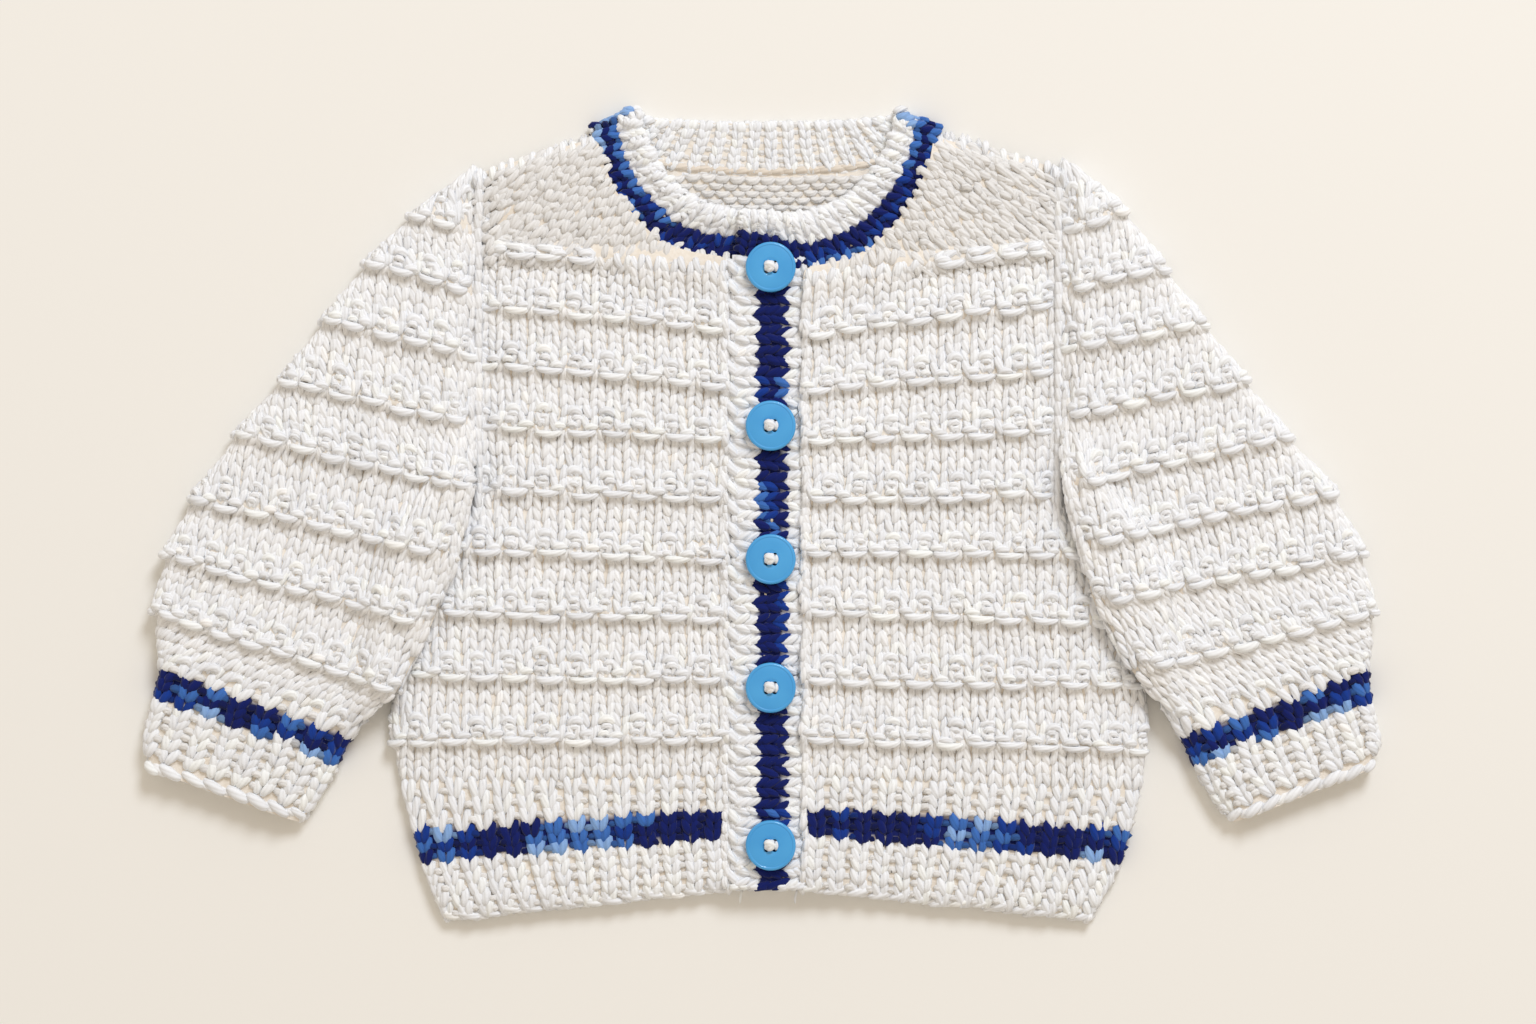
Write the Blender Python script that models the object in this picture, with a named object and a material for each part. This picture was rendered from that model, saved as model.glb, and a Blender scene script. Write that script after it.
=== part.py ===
"""Hand-knitted baby cardigan, laid flat with its front up and buttoned.

The garment lies on the plane z = 0.  +X is the wearer's left, +Y points from hem
to neck, +Z is up.  The origin is the middle of the garment's footprint.
Tables are in millimetres; MM turns them into metres when a mesh is made.
"""
from collections import namedtuple
import math

import bmesh
import bpy
import numpy as np

MM = 0.001

# --- Driving dimensions, millimetres -----------------------------------------
KNIT = 2.4             # thickness of one knitted layer
GAP = 0.3              # air between two pieces that touch
TIER_RISE = 1.7        # how far a tier's lower lip stands above the recess below it
LIP = 0.7              # half the height of the step under a lip
PLAIN_RISE = 0.25      # share of TIER_RISE on the rows without a lip
SWELL_AT = 0.55        # where the row between two lips lies, as a share of the tier
SWELL_RISE = 0.35      # share of TIER_RISE on that row
PUFF = 0.8             # loft of a front over the back, away from its edges
PUFF_REACH = 22.0      # distance from the edge over which the loft comes up
EDGE_ROUND = 2.2       # width of the rounded border of a layer
EDGE_LEFT = 0.45       # share of a front's thickness left at its edge
RIM_LEFT = 0.6         # share of the thickness left at the rim of the back and bands
ARMHOLE_RIGHT = -84.6  # x of the right armhole seam
ARMHOLE_LEFT = 89.7    # x of the left armhole seam
BAND_RIGHT_X = -9.9    # x of the overlap's edge on the right front
BAND_LEFT_X = 12.9     # x of the overlap's edge on the left front
BAND_LIFT_REACH = 11.0  # how far the left front comes down beside the overlap

FRONT_BASE = KNIT + GAP            # underside of the fronts, on the back
OVERLAP_BASE = FRONT_BASE + KNIT + GAP  # underside of the buttonhole band
SLEEVE_LIFT = 7.7                  # underside of a sleeve where it lies over the body
SLEEVE_RAMP = 9.0                  # width over which it comes down to the surface
SLEEVE_LAID = 6.0                  # height of the sleeve's two layers over the body

BUTTON_RADIUS = 7.5
BUTTON_THICK = 2.55
HOLE_RADIUS = 0.75
HOLE_PITCH_RADIUS = 1.7
HOLE_COUNT = 4
BUTTON_X = 3.2
BUTTON_YS = (74.1, 26.7, -13.2, -51.6, -98.7)
SHANK_RADIUS = 0.9     # thread between button band and button
LEG_RADIUS = 0.4       # thread through one hole
SLOT_HALF_WIDTH = 1.3
SLOT_ABOVE = 1.3       # buttonhole reach above the shank
SLOT_BELOW = 8.5       # and below it
PLATE_RADIUS = 2.3     # coil of thread between band and button
PLATE_THICK = 0.5
BUTTON_LIFT = GAP + PLATE_THICK + GAP

# Rows of a front, from the shoulder to the hem.  "inner" is the neck or band side,
# "outer" the armhole or side seam; ridge rows carry the lip of a tier.
Row = namedtuple("Row", "name inner_x inner_y outer_x outer_y ridge")
FRONT_RIGHT = (
    Row("shoulder", -48.9, 113.5, -84.6, 102.9, False),
    Row("yoke_1", -47.4, 106.5, -84.6, 96.9, False),
    Row("yoke_2", -43.5, 97.5, -84.6, 91.5, False),
    Row("yoke_3", -37.2, 89.1, -84.6, 87.3, False),
    Row("yoke_4", -29.4, 81.6, -84.6, 84.3, False),
    Row("yoke_5", -19.5, 78.6, -84.6, 82.2, False),
    Row("neck_base", -10.2, 77.4, -84.6, 80.7, False),
    Row("ridge_1", -10.2, 74.1, -84.6, 78.3, True),
    Row("ridge_2", -10.2, 56.1, -84.6, 62.7, True),
    Row("ridge_3", -10.2, 38.4, -84.6, 45.9, True),
    Row("ridge_4", -10.2, 22.5, -84.6, 27.0, True),
    Row("ridge_5", -10.2, 5.1, -84.6, 7.5, True),
    Row("underarm", -10.2, -4.2, -94.2, -2.1, False),
    Row("ridge_6", -10.2, -13.5, -105.0, -9.9, True),
    Row("ridge_7", -10.2, -30.9, -110.4, -29.1, True),
    Row("ridge_8", -10.2, -49.5, -111.0, -48.0, True),
    Row("ridge_9", -10.2, -66.9, -111.0, -68.1, True),
    Row("rib_top", -10.2, -78.3, -108.6, -79.5, False),
    Row("stripe_top", -10.2, -89.1, -104.4, -96.3, False),
    Row("stripe_low", -10.2, -98.1, -102.0, -105.3, False),
    Row("hem", -10.2, -112.2, -95.4, -121.5, False),
)
FRONT_LEFT = (
    Row("shoulder", 52.2, 113.5, 89.7, 104.4, False),
    Row("yoke_1", 51.0, 106.5, 89.7, 97.5, False),
    Row("yoke_2", 47.1, 96.6, 89.7, 92.1, False),
    Row("yoke_3", 40.5, 87.0, 89.7, 88.2, False),
    Row("yoke_4", 32.4, 79.5, 89.7, 85.2, False),
    Row("yoke_5", 23.4, 75.9, 89.7, 83.1, False),
    Row("neck_base", 13.8, 74.1, 89.7, 81.6, False),
    Row("ridge_1", 13.2, 71.4, 89.7, 79.2, True),
    Row("ridge_2", 13.2, 53.7, 89.7, 63.6, True),
    Row("ridge_3", 13.2, 37.2, 89.7, 43.5, True),
    Row("ridge_4", 13.2, 22.2, 89.7, 25.2, True),
    Row("ridge_5", 13.2, 4.8, 89.7, 6.0, True),
    Row("underarm", 13.2, -3.9, 99.3, -3.3, False),
    Row("ridge_6", 13.2, -11.1, 110.4, -12.3, True),
    Row("ridge_7", 13.2, -29.1, 115.8, -32.7, True),
    Row("ridge_8", 13.2, -49.5, 116.4, -51.3, True),
    Row("ridge_9", 13.2, -66.9, 116.7, -70.5, True),
    Row("rib_top", 13.2, -78.3, 114.9, -82.5, False),
    Row("stripe_top", 13.2, -88.5, 111.3, -95.7, False),
    Row("stripe_low", 13.2, -96.9, 108.6, -105.3, False),
    Row("hem", 13.2, -111.9, 99.9, -121.5, False),
)

# Sections of a sleeve, from the shoulder to the cuff: the fold on the outside, the
# seam on the inside, the height of the flat tube, how far the inner side is lifted
# over the body, and how far from the seam that lift reaches.
Section = namedtuple("Section", "name outer_x outer_y inner_x inner_y height lift reach ridge")
SLEEVE_RIGHT = (
    Section("cap", -92.4, 98.7, -84.9, 102.3, 6.0, 0.0, 0.0, False),
    Section("ridge_1", -104.4, 90.0, -84.9, 84.9, 7.6, 0.0, 0.0, True),
    Section("ridge_2", -117.6, 75.9, -84.9, 66.9, 8.2, 0.0, 0.0, True),
    Section("ridge_3", -130.5, 58.5, -84.9, 47.7, 8.4, 0.0, 0.0, True),
    Section("ridge_4", -143.4, 40.5, -84.9, 27.0, 8.4, 0.0, 0.0, True),
    Section("ridge_5", -156.6, 24.3, -84.9, 8.4, 8.4, 7.7, 7.0, True),
    Section("ridge_6", -169.8, 5.1, -90.0, -12.3, 8.4, 7.7, 18.0, True),
    Section("ridge_7", -178.2, -12.0, -97.2, -33.0, 8.4, 7.7, 16.0, True),
    Section("ridge_8", -181.5, -28.5, -107.4, -53.1, 8.4, 7.7, 7.0, True),
    Section("forearm", -181.2, -37.5, -114.6, -58.5, 8.4, 5.0, 3.0, False),
    Section("stripe_top", -180.0, -47.1, -123.6, -68.1, 8.0, 0.0, 0.0, False),
    Section("stripe_low", -182.4, -55.5, -127.2, -76.5, 7.6, 0.0, 0.0, False),
    Section("rib_middle", -185.1, -67.5, -132.6, -85.5, 7.4, 0.0, 0.0, False),
    Section("cuff", -184.2, -75.9, -137.1, -92.7, 7.2, 0.0, 0.0, False),
)
SLEEVE_LEFT = (
    Section("cap", 98.4, 101.1, 90.0, 103.5, 6.0, 0.0, 0.0, False),
    Section("ridge_1", 109.5, 91.5, 90.0, 84.9, 7.6, 0.0, 0.0, True),
    Section("ridge_2", 121.5, 74.1, 90.0, 67.5, 8.2, 0.0, 0.0, True),
    Section("ridge_3", 133.5, 57.0, 90.0, 49.5, 8.4, 0.0, 0.0, True),
    Section("ridge_4", 145.5, 40.5, 90.0, 29.1, 8.4, 0.0, 0.0, True),
    Section("ridge_5", 159.0, 23.1, 90.0, 9.0, 8.4, 7.7, 7.0, True),
    Section("ridge_6", 172.5, 6.9, 94.2, -9.0, 8.4, 7.7, 17.0, True),
    Section("ridge_7", 180.6, -11.1, 99.0, -26.4, 8.4, 7.7, 20.0, True),
    Section("ridge_8", 184.2, -29.1, 110.4, -47.1, 8.4, 7.7, 9.0, True),
    Section("forearm", 183.6, -37.5, 118.8, -56.1, 8.4, 5.0, 3.0, False),
    Section("stripe_top", 182.4, -48.0, 127.2, -68.1, 8.0, 0.0, 0.0, False),
    Section("stripe_low", 183.9, -57.0, 130.8, -76.5, 7.6, 0.0, 0.0, False),
    Section("rib_middle", 186.3, -66.9, 136.2, -86.1, 7.4, 0.0, 0.0, False),
    Section("cuff", 183.9, -75.9, 141.6, -92.7, 7.2, 0.0, 0.0, False),
)

# Stations of the neckband: the seam side, the free edge, and how far the strip is
# lifted.  The right half ends underneath at centre front, the left half on top.
Station = namedtuple("Station", "seam_x seam_y edge_x edge_y lift")
NECK_FRONT_RIGHT = (
    Station(11.4, 77.7, 9.0, 90.3, 0.0),
    Station(1.5, 78.3, 1.8, 90.6, 0.0),
    Station(-9.9, 77.7, -5.4, 91.2, 0.0),
    Station(-19.5, 78.9, -9.6, 92.1, 0.0),
    Station(-29.1, 81.9, -15.0, 93.6, 0.0),
    Station(-36.9, 89.4, -21.0, 96.6, 0.0),
    Station(-43.2, 97.8, -27.6, 102.3, 0.0),
    Station(-47.1, 106.5, -32.4, 110.7, 0.0),
    Station(-48.6, 113.5, -35.4, 117.3, 0.0),
)
NECK_BACK = (
    Station(-44.1, 112.2, -32.4, 119.1, 0.0),
    Station(-36.3, 106.8, -26.4, 118.5, 0.0),
    Station(-20.7, 104.1, -16.5, 118.0, 0.0),
    Station(1.6, 103.2, 1.6, 117.8, 0.0),
    Station(24.0, 104.1, 19.8, 118.0, 0.0),
    Station(39.6, 106.8, 29.7, 118.5, 0.0),
    Station(47.4, 112.2, 36.0, 119.1, 0.0),
)
NECK_FRONT_LEFT = (
    Station(51.9, 113.5, 39.9, 117.3, 0.0),
    Station(50.7, 106.5, 37.2, 110.1, 0.0),
    Station(46.8, 96.9, 31.8, 101.7, 0.0),
    Station(40.2, 87.3, 25.5, 96.0, 0.0),
    Station(32.1, 79.8, 18.9, 92.7, 0.9),
    Station(23.1, 76.2, 13.8, 91.2, 1.8),
    Station(13.8, 74.6, 9.0, 90.6, 2.7),
    Station(3.0, 78.3, 1.8, 90.9, 2.7),
    Station(-6.9, 79.5, -5.4, 91.5, 2.7),
)
FOLD_RIGHT = Station(-48.9, 115.0, -35.4, 119.9, 0.0)
FOLD_LEFT = Station(52.2, 115.0, 39.9, 119.9, 0.0)
FOLD_TURNS = 4                      # stations round a fold, from front to back

# Across the neckband: share of the width from the seam, and how far the rolled
# edge stands up there.
Across = namedtuple("Across", "share bulge")
NECK_ACROSS = (
    Across(0.00, 0.0),
    Across(0.30, 0.2),
    Across(0.55, 0.0),
    Across(0.75, 1.3),
    Across(0.93, 0.8),
    Across(1.00, -0.6),
)

CREAM = (0.93, 0.91, 0.87, 1.0)
NAVY = (0.03, 0.07, 0.30, 1.0)
SKY = (0.07, 0.38, 0.80, 1.0)
WHITE = (0.94, 0.95, 0.96, 1.0)


# --- Meshes ------------------------------------------------------------------
def material(name, colour, roughness, metallic=0.0):
    """A Principled material with one colour."""
    made = bpy.data.materials.new(name)
    made.use_nodes = True
    shader = made.node_tree.nodes["Principled BSDF"]
    shader.inputs["Base Color"].default_value = colour
    shader.inputs["Roughness"].default_value = roughness
    shader.inputs["Metallic"].default_value = metallic
    return made


def add_object(name, mesh_maker, finish):
    """A named object from a bmesh, its faces pointing out."""
    bmesh.ops.recalc_face_normals(mesh_maker, faces=mesh_maker.faces)
    mesh = bpy.data.meshes.new(name)
    mesh_maker.to_mesh(mesh)
    mesh_maker.free()
    mesh.materials.append(finish)
    made = bpy.data.objects.new(name, mesh)
    bpy.context.collection.objects.link(made)
    return made


def grid_faces(maker, grid):
    """Quads between the neighbours of a grid of vertices."""
    for near, far in zip(grid[:-1], grid[1:]):
        for column in range(len(near) - 1):
            maker.faces.new((near[column], near[column + 1], far[column + 1], far[column]))


def border(grid):
    """The vertices round a grid, in order, back to the first."""
    last_row = len(grid) - 1
    ring = list(grid[0])
    ring += [grid[row][-1] for row in range(1, last_row)]
    ring += list(reversed(grid[last_row]))
    ring += [grid[row][0] for row in range(last_row - 1, -1, -1)]
    return ring


def wall(name, outer, inner, finish):
    """A closed knitted layer between two skins, given as grids of points."""
    maker = bmesh.new()
    outer_grid = [[maker.verts.new(np.array(point) * MM) for point in row] for row in outer]
    inner_grid = [[maker.verts.new(np.array(point) * MM) for point in row] for row in inner]
    grid_faces(maker, outer_grid)
    grid_faces(maker, inner_grid)
    rim = list(zip(border(outer_grid), border(inner_grid)))
    for (top, under), (next_top, next_under) in zip(rim[:-1], rim[1:]):
        maker.faces.new((top, next_top, next_under, under))
    return add_object(name, maker, finish)


def smooth(share):
    """Soft step from 0 to 1."""
    held = min(max(share, 0.0), 1.0)
    return held * held * (3.0 - 2.0 * held)


def round_edge(distance):
    """Share of a layer's thickness that is left at a distance from its edge."""
    inside = 1.0 - min(distance / EDGE_ROUND, 1.0)
    return EDGE_LEFT + (1.0 - EDGE_LEFT) * math.sqrt(1.0 - inside * inside)


def blend_rows(first, second, share, names):
    """A row between two rows of a table, for the columns in names."""
    values = {}
    for name in names:
        start = getattr(first, name)
        values[name] = start + (getattr(second, name) - start) * share
    return values


def tiered_rows(table, names):
    """The table's rows with a crest and a recess at every ridge and a row between
    two ridges, each with its share of TIER_RISE."""
    rows = []
    for index, row in enumerate(table):
        here = {name: getattr(row, name) for name in names}
        if row.ridge:
            crest = dict(here, inner_y=row.inner_y + LIP, outer_y=row.outer_y + LIP)
            recess = dict(here, inner_y=row.inner_y - LIP, outer_y=row.outer_y - LIP)
            rows += [(crest, 1.0), (recess, 0.0)]
        else:
            rows.append((here, PLAIN_RISE))
        following = table[index + 1] if index + 1 < len(table) else None
        if row.ridge and following is not None and following.ridge:
            rows.append((blend_rows(row, following, SWELL_AT, names), SWELL_RISE))
    return rows


# --- Body --------------------------------------------------------------------
FRONT_NAMES = ("inner_x", "inner_y", "outer_x", "outer_y")
FRONT_COLUMNS = (0.0, 0.25, 0.5, 0.75)    # shares of the width inside the border
BORDER_COLUMNS = (3.0 * EDGE_ROUND, EDGE_ROUND, 0.35 * EDGE_ROUND, 0.0)
NEAR_SHOULDER = 0.3    # share of the first yoke row over which the shoulder rounds off
BACK_SIDE_COLUMNS = (0.012, 0.1, 0.9, 0.988)
BACK_UPPER_ROWS = (0.08, 0.5)             # shares of the way down to the first ridge


def front_point(row, share):
    """A point of a front's plan, a share of the way from inner to outer."""
    x = row["inner_x"] + (row["outer_x"] - row["inner_x"]) * share
    y = row["inner_y"] + (row["outer_y"] - row["inner_y"]) * share
    return x, y


def front_panel(name, table, inner_lift, finish):
    """A front: tiers above, the back's top below, rounded at side and shoulder."""
    rows = tiered_rows(table, FRONT_NAMES)
    hem = rows[-1][0]
    near_hem = dict(hem, inner_y=hem["inner_y"] + EDGE_ROUND, outer_y=hem["outer_y"] + EDGE_ROUND)
    shoulder = rows[0][0]
    near_shoulder = blend_rows(table[0], table[1], NEAR_SHOULDER, FRONT_NAMES)
    rows = [(shoulder, 0.0), (near_shoulder, PLAIN_RISE)] + rows[1:-1]
    rows += [(near_hem, PLAIN_RISE), (hem, 0.0)]
    top, under = [], []
    for index, (row, rise) in enumerate(rows):
        width = math.hypot(row["outer_x"] - row["inner_x"], row["outer_y"] - row["inner_y"])
        shares = [share * (1.0 - BORDER_COLUMNS[0] / width) for share in FRONT_COLUMNS]
        shares += [1.0 - distance / width for distance in BORDER_COLUMNS]
        at_end = index in (0, len(rows) - 1)
        top_row, under_row = [], []
        for share in shares:
            x, y = front_point(row, share)
            from_outer = (1.0 - share) * width
            layer = KNIT * round_edge(0.0 if at_end else from_outer)
            base = FRONT_BASE + PUFF * smooth(from_outer / PUFF_REACH) * (0.0 if at_end else 1.0)
            base += inner_lift * math.exp(-abs(x - BAND_LEFT_X) / BAND_LIFT_REACH)
            relief = rise * TIER_RISE * smooth(from_outer / (2.0 * EDGE_ROUND))
            top_row.append((x, y, base + layer + relief))
            under_row.append((x, y, base))
        top.append(top_row)
        under.append(under_row)
    return wall(name, top, under, finish)


def back_rows():
    """Plan rows of the back: outer and inner points of both fronts' rows."""
    kept = ("ridge_1", "ridge_3", "ridge_5", "underarm", "ridge_6", "ridge_7", "ridge_8",
            "ridge_9", "rib_top", "stripe_top", "stripe_low", "hem")
    rows = []
    for right, left in zip(FRONT_RIGHT, FRONT_LEFT):
        if right.name in kept:
            xs = (right.outer_x, right.inner_x, left.inner_x, left.outer_x)
            ys = (right.outer_y, right.inner_y, left.inner_y, left.outer_y)
            rows.append((xs, ys))
    return rows


def back_top():
    """The back's upper outline: shoulder, neckline, shoulder."""
    neckline = [(station.seam_x, station.seam_y - 1.5 * GAP) for station in NECK_BACK]
    right_neck = (FOLD_RIGHT.seam_x - GAP, FOLD_RIGHT.seam_y - 2.0 * GAP)
    left_neck = (FOLD_LEFT.seam_x + GAP, FOLD_LEFT.seam_y - 2.0 * GAP)
    right_shoulder = (ARMHOLE_RIGHT, FRONT_RIGHT[0].outer_y)
    left_shoulder = (ARMHOLE_LEFT, FRONT_LEFT[0].outer_y)
    return [right_shoulder, right_neck] + neckline + [left_neck, left_shoulder]


def back_panel(finish):
    """The back: flat underneath, the same outline as the fronts."""
    outline = back_top()
    top_xs = [x for x, _ in outline]
    top_ys = [y for _, y in outline]
    span = top_xs[-1] - top_xs[0]
    shares = sorted({(x - top_xs[0]) / span for x in top_xs} | set(BACK_SIDE_COLUMNS))
    first_xs, first_ys = back_rows()[0]
    plan = []
    edge_row = [(top_xs[0] + span * share,
                 float(np.interp(top_xs[0] + span * share, top_xs, top_ys))) for share in shares]
    plan.append(edge_row)
    for share_down in BACK_UPPER_ROWS:
        row = []
        for x, y in edge_row:
            lower = float(np.interp(x, first_xs, first_ys))
            row.append((x, y + (lower - y) * share_down))
        plan.append(row)
    for xs, ys in back_rows():
        row = []
        for share in shares:
            x = xs[0] + (xs[-1] - xs[0]) * share
            row.append((x, float(np.interp(x, xs, ys))))
        plan.append(row)
    last = len(plan) - 1
    top, under = [], []
    for index, row in enumerate(plan):
        at_end = index in (0, last)
        side = (0, len(row) - 1)
        rim = RIM_LEFT * KNIT
        heights = [rim if at_end or column in side else KNIT for column in range(len(row))]
        top.append([(x, y, height) for (x, y), height in zip(row, heights)])
        under.append([(x, y, 0.0) for x, y in row])
    return wall("back", top, under, finish)


# --- Sleeves -----------------------------------------------------------------
SECTION_NAMES = ("outer_x", "outer_y", "inner_x", "inner_y", "height", "lift", "reach")
UPPER_SHARES = (0.0, 0.05, 0.12, 0.25, 0.45, 0.65, 0.85, 1.0)
FOLD_DEGREES = (45.0, 0.0, -45.0)
LOWER_SHARES = (1.0, 0.5, 0.0)            # from the fold's foot to the foot of the ramp
RAMP_STARTS = (0.1, 0.4)                  # least and most of the run before the ramp
RAMP_ENDS = 0.7                           # and the most of it before the ramp's foot
SEAM_ROUND = 5.0       # width over which the sleeve swells beside its seam
FOLD_RELIEF = 0.6      # share of a tier's lip that shows at the fold
FOLD_WALL = 0.4        # share of the fold's radius kept clear of the inner skin
LEAST_HOLLOW = 0.2     # radius of the inner fold where the tube is thinnest


def lifted_base(row, along):
    """Height of the sleeve's underside at a distance from its seam."""
    past = (along - row["reach"]) / SLEEVE_RAMP
    return row["lift"] * (1.0 - smooth(past))


def sleeve_top(row, along, width):
    """Height of the sleeve's upper side at a distance from its seam."""
    base = lifted_base(row, along)
    full = row["height"] - (row["height"] - SLEEVE_LAID) * base / SLEEVE_LIFT
    flat = 2.0 * KNIT + GAP
    return base + flat + (full - flat) * smooth(along / min(SEAM_ROUND, 0.5 * width))


def sleeve_section(row, rise):
    """Outer and inner skin of one section, from the upper seam edge round the
    outside fold to the lower seam edge, as (distance from the seam, height)."""
    width = math.hypot(row["outer_x"] - row["inner_x"], row["outer_y"] - row["inner_y"])
    fold = 0.5 * min(row["height"], width)
    height = row["height"]
    relief = rise * TIER_RISE
    outer, inner = [], []
    run = width - fold
    inner_end = width - KNIT - FOLD_WALL * fold
    for share in UPPER_SHARES:
        along = share * run
        top = sleeve_top(row, along, width)
        outer.append((along, top + relief * smooth(along / SEAM_ROUND)))
        inner.append((min(along, inner_end), top - KNIT))
    middle = 0.5 * height
    hollow = max(fold - KNIT, LEAST_HOLLOW)
    for degrees in FOLD_DEGREES:
        angle = math.radians(degrees)
        out = fold * math.cos(angle)
        outer.append((run + out + relief * FOLD_RELIEF, middle + middle * math.sin(angle)))
        inner.append((run + hollow * math.cos(angle),
                      middle + (middle - KNIT) * math.sin(angle)))
    least, most = RAMP_STARTS
    ramp_top = min(max(row["reach"], least * run), most * run)
    ramp_foot = min(ramp_top + SLEEVE_RAMP, RAMP_ENDS * run)
    ramp_middle = 0.5 * (ramp_top + ramp_foot)
    lower = [ramp_foot + (run - ramp_foot) * share for share in LOWER_SHARES]
    for along in lower + [ramp_middle, ramp_top, 0.0]:
        base = lifted_base(row, along)
        outer.append((along, base))
        inner.append((min(along, inner_end), base + KNIT))
    return outer, inner


def sleeve(name, table, finish):
    """A sleeve: one knitted layer folded along its outside, open at cuff and armhole."""
    rows = tiered_rows(table, SECTION_NAMES)
    outer, inner = [], []
    for row, rise in rows:
        start = np.array((row["inner_x"], row["inner_y"]))
        across = np.array((row["outer_x"], row["outer_y"])) - start
        across /= np.linalg.norm(across)
        outer_skin, inner_skin = sleeve_section(row, rise)
        outer.append([(*(start + across * along), height) for along, height in outer_skin])
        inner.append([(*(start + across * along), height) for along, height in inner_skin])
    return wall(name, outer, inner, finish)


# --- Neckband and front bands ------------------------------------------------
def strip_station(station, middle_height, facing, roll):
    """Skins of the neckband at one station: facing is the outward direction."""
    seam = np.array((station.seam_x, station.seam_y, middle_height))
    edge = np.array((station.edge_x, station.edge_y, middle_height))
    outer, inner = [], []
    for across in NECK_ACROSS:
        point = seam + (edge - seam) * across.share
        outer.append(point + facing * (0.5 * KNIT + across.bulge * roll))
        inner.append(point - facing * 0.5 * KNIT)
    return outer, inner


def fold_stations(fold, turning):
    """Stations round a shoulder fold; turning is 1 from front to back."""
    radius = 0.5 * (KNIT + GAP)
    line = np.array((fold.edge_x - fold.seam_x, fold.edge_y - fold.seam_y))
    line /= np.linalg.norm(line)
    away = np.array((-line[1], line[0]))
    away *= math.copysign(1.0, away[1])
    made = []
    for step in range(FOLD_TURNS + 1):
        turn = step / FOLD_TURNS if turning > 0 else 1.0 - step / FOLD_TURNS
        angle = math.pi * turn
        facing = np.array((*(away * math.sin(angle)), math.cos(angle)))
        shift = away * math.sin(angle) * radius
        moved = Station(fold.seam_x + shift[0], fold.seam_y + shift[1],
                        fold.edge_x + shift[0], fold.edge_y + shift[1], 0.0)
        height = KNIT + 0.5 * GAP + radius * math.cos(angle)
        made.append(strip_station(moved, height, facing, 0.5 * (1.0 - turn)))
    return made


def neckband(finish):
    """The neckband: one strip round the neck, folded at both shoulders, its ends
    lapped at centre front."""
    up = np.array((0.0, 0.0, 1.0))
    front_height = FRONT_BASE + 0.5 * KNIT
    back_height = 0.5 * KNIT
    made = [strip_station(s, front_height + s.lift, up, 1.0) for s in NECK_FRONT_RIGHT]
    made += fold_stations(FOLD_RIGHT, 1)
    made += [strip_station(s, back_height, -up, 0.0) for s in NECK_BACK]
    made += fold_stations(FOLD_LEFT, -1)
    made += [strip_station(s, front_height + s.lift, up, 1.0) for s in NECK_FRONT_LEFT]
    outer = [outer_row for outer_row, _ in made]
    inner = [inner_row for _, inner_row in made]
    return wall("neckband", outer, inner, finish)


STRIP_COLUMNS = (0.0, 0.1, 0.5, 0.9, 1.0)             # across a front band
STRIP_ROWS = (0.0, 0.01, 0.25, 0.5, 0.75, 0.99, 1.0)  # from its top to the hem
UNDER_TOP = ((BAND_RIGHT_X, 77.1), (BAND_LEFT_X, 77.1))
OVER_TOP = ((BAND_RIGHT_X, 79.0), (3.0, 77.8), (BAND_LEFT_X, 74.2))


def line_height(line, x):
    """Height at x of a line given by its points."""
    return float(np.interp(x, [point[0] for point in line], [point[1] for point in line]))


def band(name, base, top_line, left_x, finish):
    """A front band: a flat strip from the neckband to the hem."""
    hem = ((FRONT_RIGHT[-1].inner_x, FRONT_RIGHT[-1].inner_y),
           (FRONT_LEFT[-1].inner_x, FRONT_LEFT[-1].inner_y))
    top, under = [], []
    for row in STRIP_ROWS:
        top_row, under_row = [], []
        for column in STRIP_COLUMNS:
            x = BAND_RIGHT_X + (left_x - BAND_RIGHT_X) * column
            upper = line_height(top_line, x)
            y = upper + (line_height(hem, x) - upper) * row
            at_rim = row in (0.0, 1.0) or column == 0.0
            top_row.append((x, y, base + KNIT * (RIM_LEFT if at_rim else 1.0)))
            under_row.append((x, y, base))
        top.append(top_row)
        under.append(under_row)
    return wall(name, top, under, finish)


def cut_buttonholes(strip):
    """Five upright slits through the buttonhole band."""
    for number, y in enumerate(BUTTON_YS, start=1):
        maker = bmesh.new()
        bmesh.ops.create_cube(maker, size=1.0)
        for vertex in maker.verts:
            vertex.co.x = (BUTTON_X + 2.0 * vertex.co.x * SLOT_HALF_WIDTH) * MM
            length = SLOT_ABOVE + SLOT_BELOW
            vertex.co.y = (y + SLOT_ABOVE - length * (0.5 - vertex.co.y)) * MM
            vertex.co.z = (OVERLAP_BASE + 0.5 * KNIT + 2.0 * vertex.co.z * KNIT) * MM
        cutter = add_object(f"buttonhole_cutter_{number}", maker, strip.data.materials[0])
        cutter.hide_render = True
        cutter.display_type = "WIRE"
        cut = strip.modifiers.new(f"buttonhole_{number}", "BOOLEAN")
        cut.operation = "DIFFERENCE"
        cut.solver = "EXACT"
        cut.object = cutter


# --- Buttons -----------------------------------------------------------------
BUTTON_SIDES = 20
THREAD_SIDES = 10
LEG_SIDES = 5
DRILL_SIDES = 8
LEG_SUNK = 0.2         # how far the legs start above the coil's underside
LEG_PROUD = 0.8        # and how far they stand into the knot
# Half profile of a button, up from its underside: rim, shoulder and dish.
Turn = namedtuple("Turn", "radius_share height_share")
BUTTON_PROFILE = (
    Turn(0.880, 0.00),
    Turn(0.973, 0.20),
    Turn(1.000, 0.47),
    Turn(0.987, 0.78),
    Turn(0.920, 1.00),
    Turn(0.840, 0.98),
    Turn(0.773, 0.88),
    Turn(0.427, 0.86),
    Turn(0.360, 0.67),
)
# Half profile of the knot, in millimetres above the dish.
KNOT_PROFILE = ((1.6, GAP), (2.15, 0.7), (1.9, 1.2), (1.1, 1.6))


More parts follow.
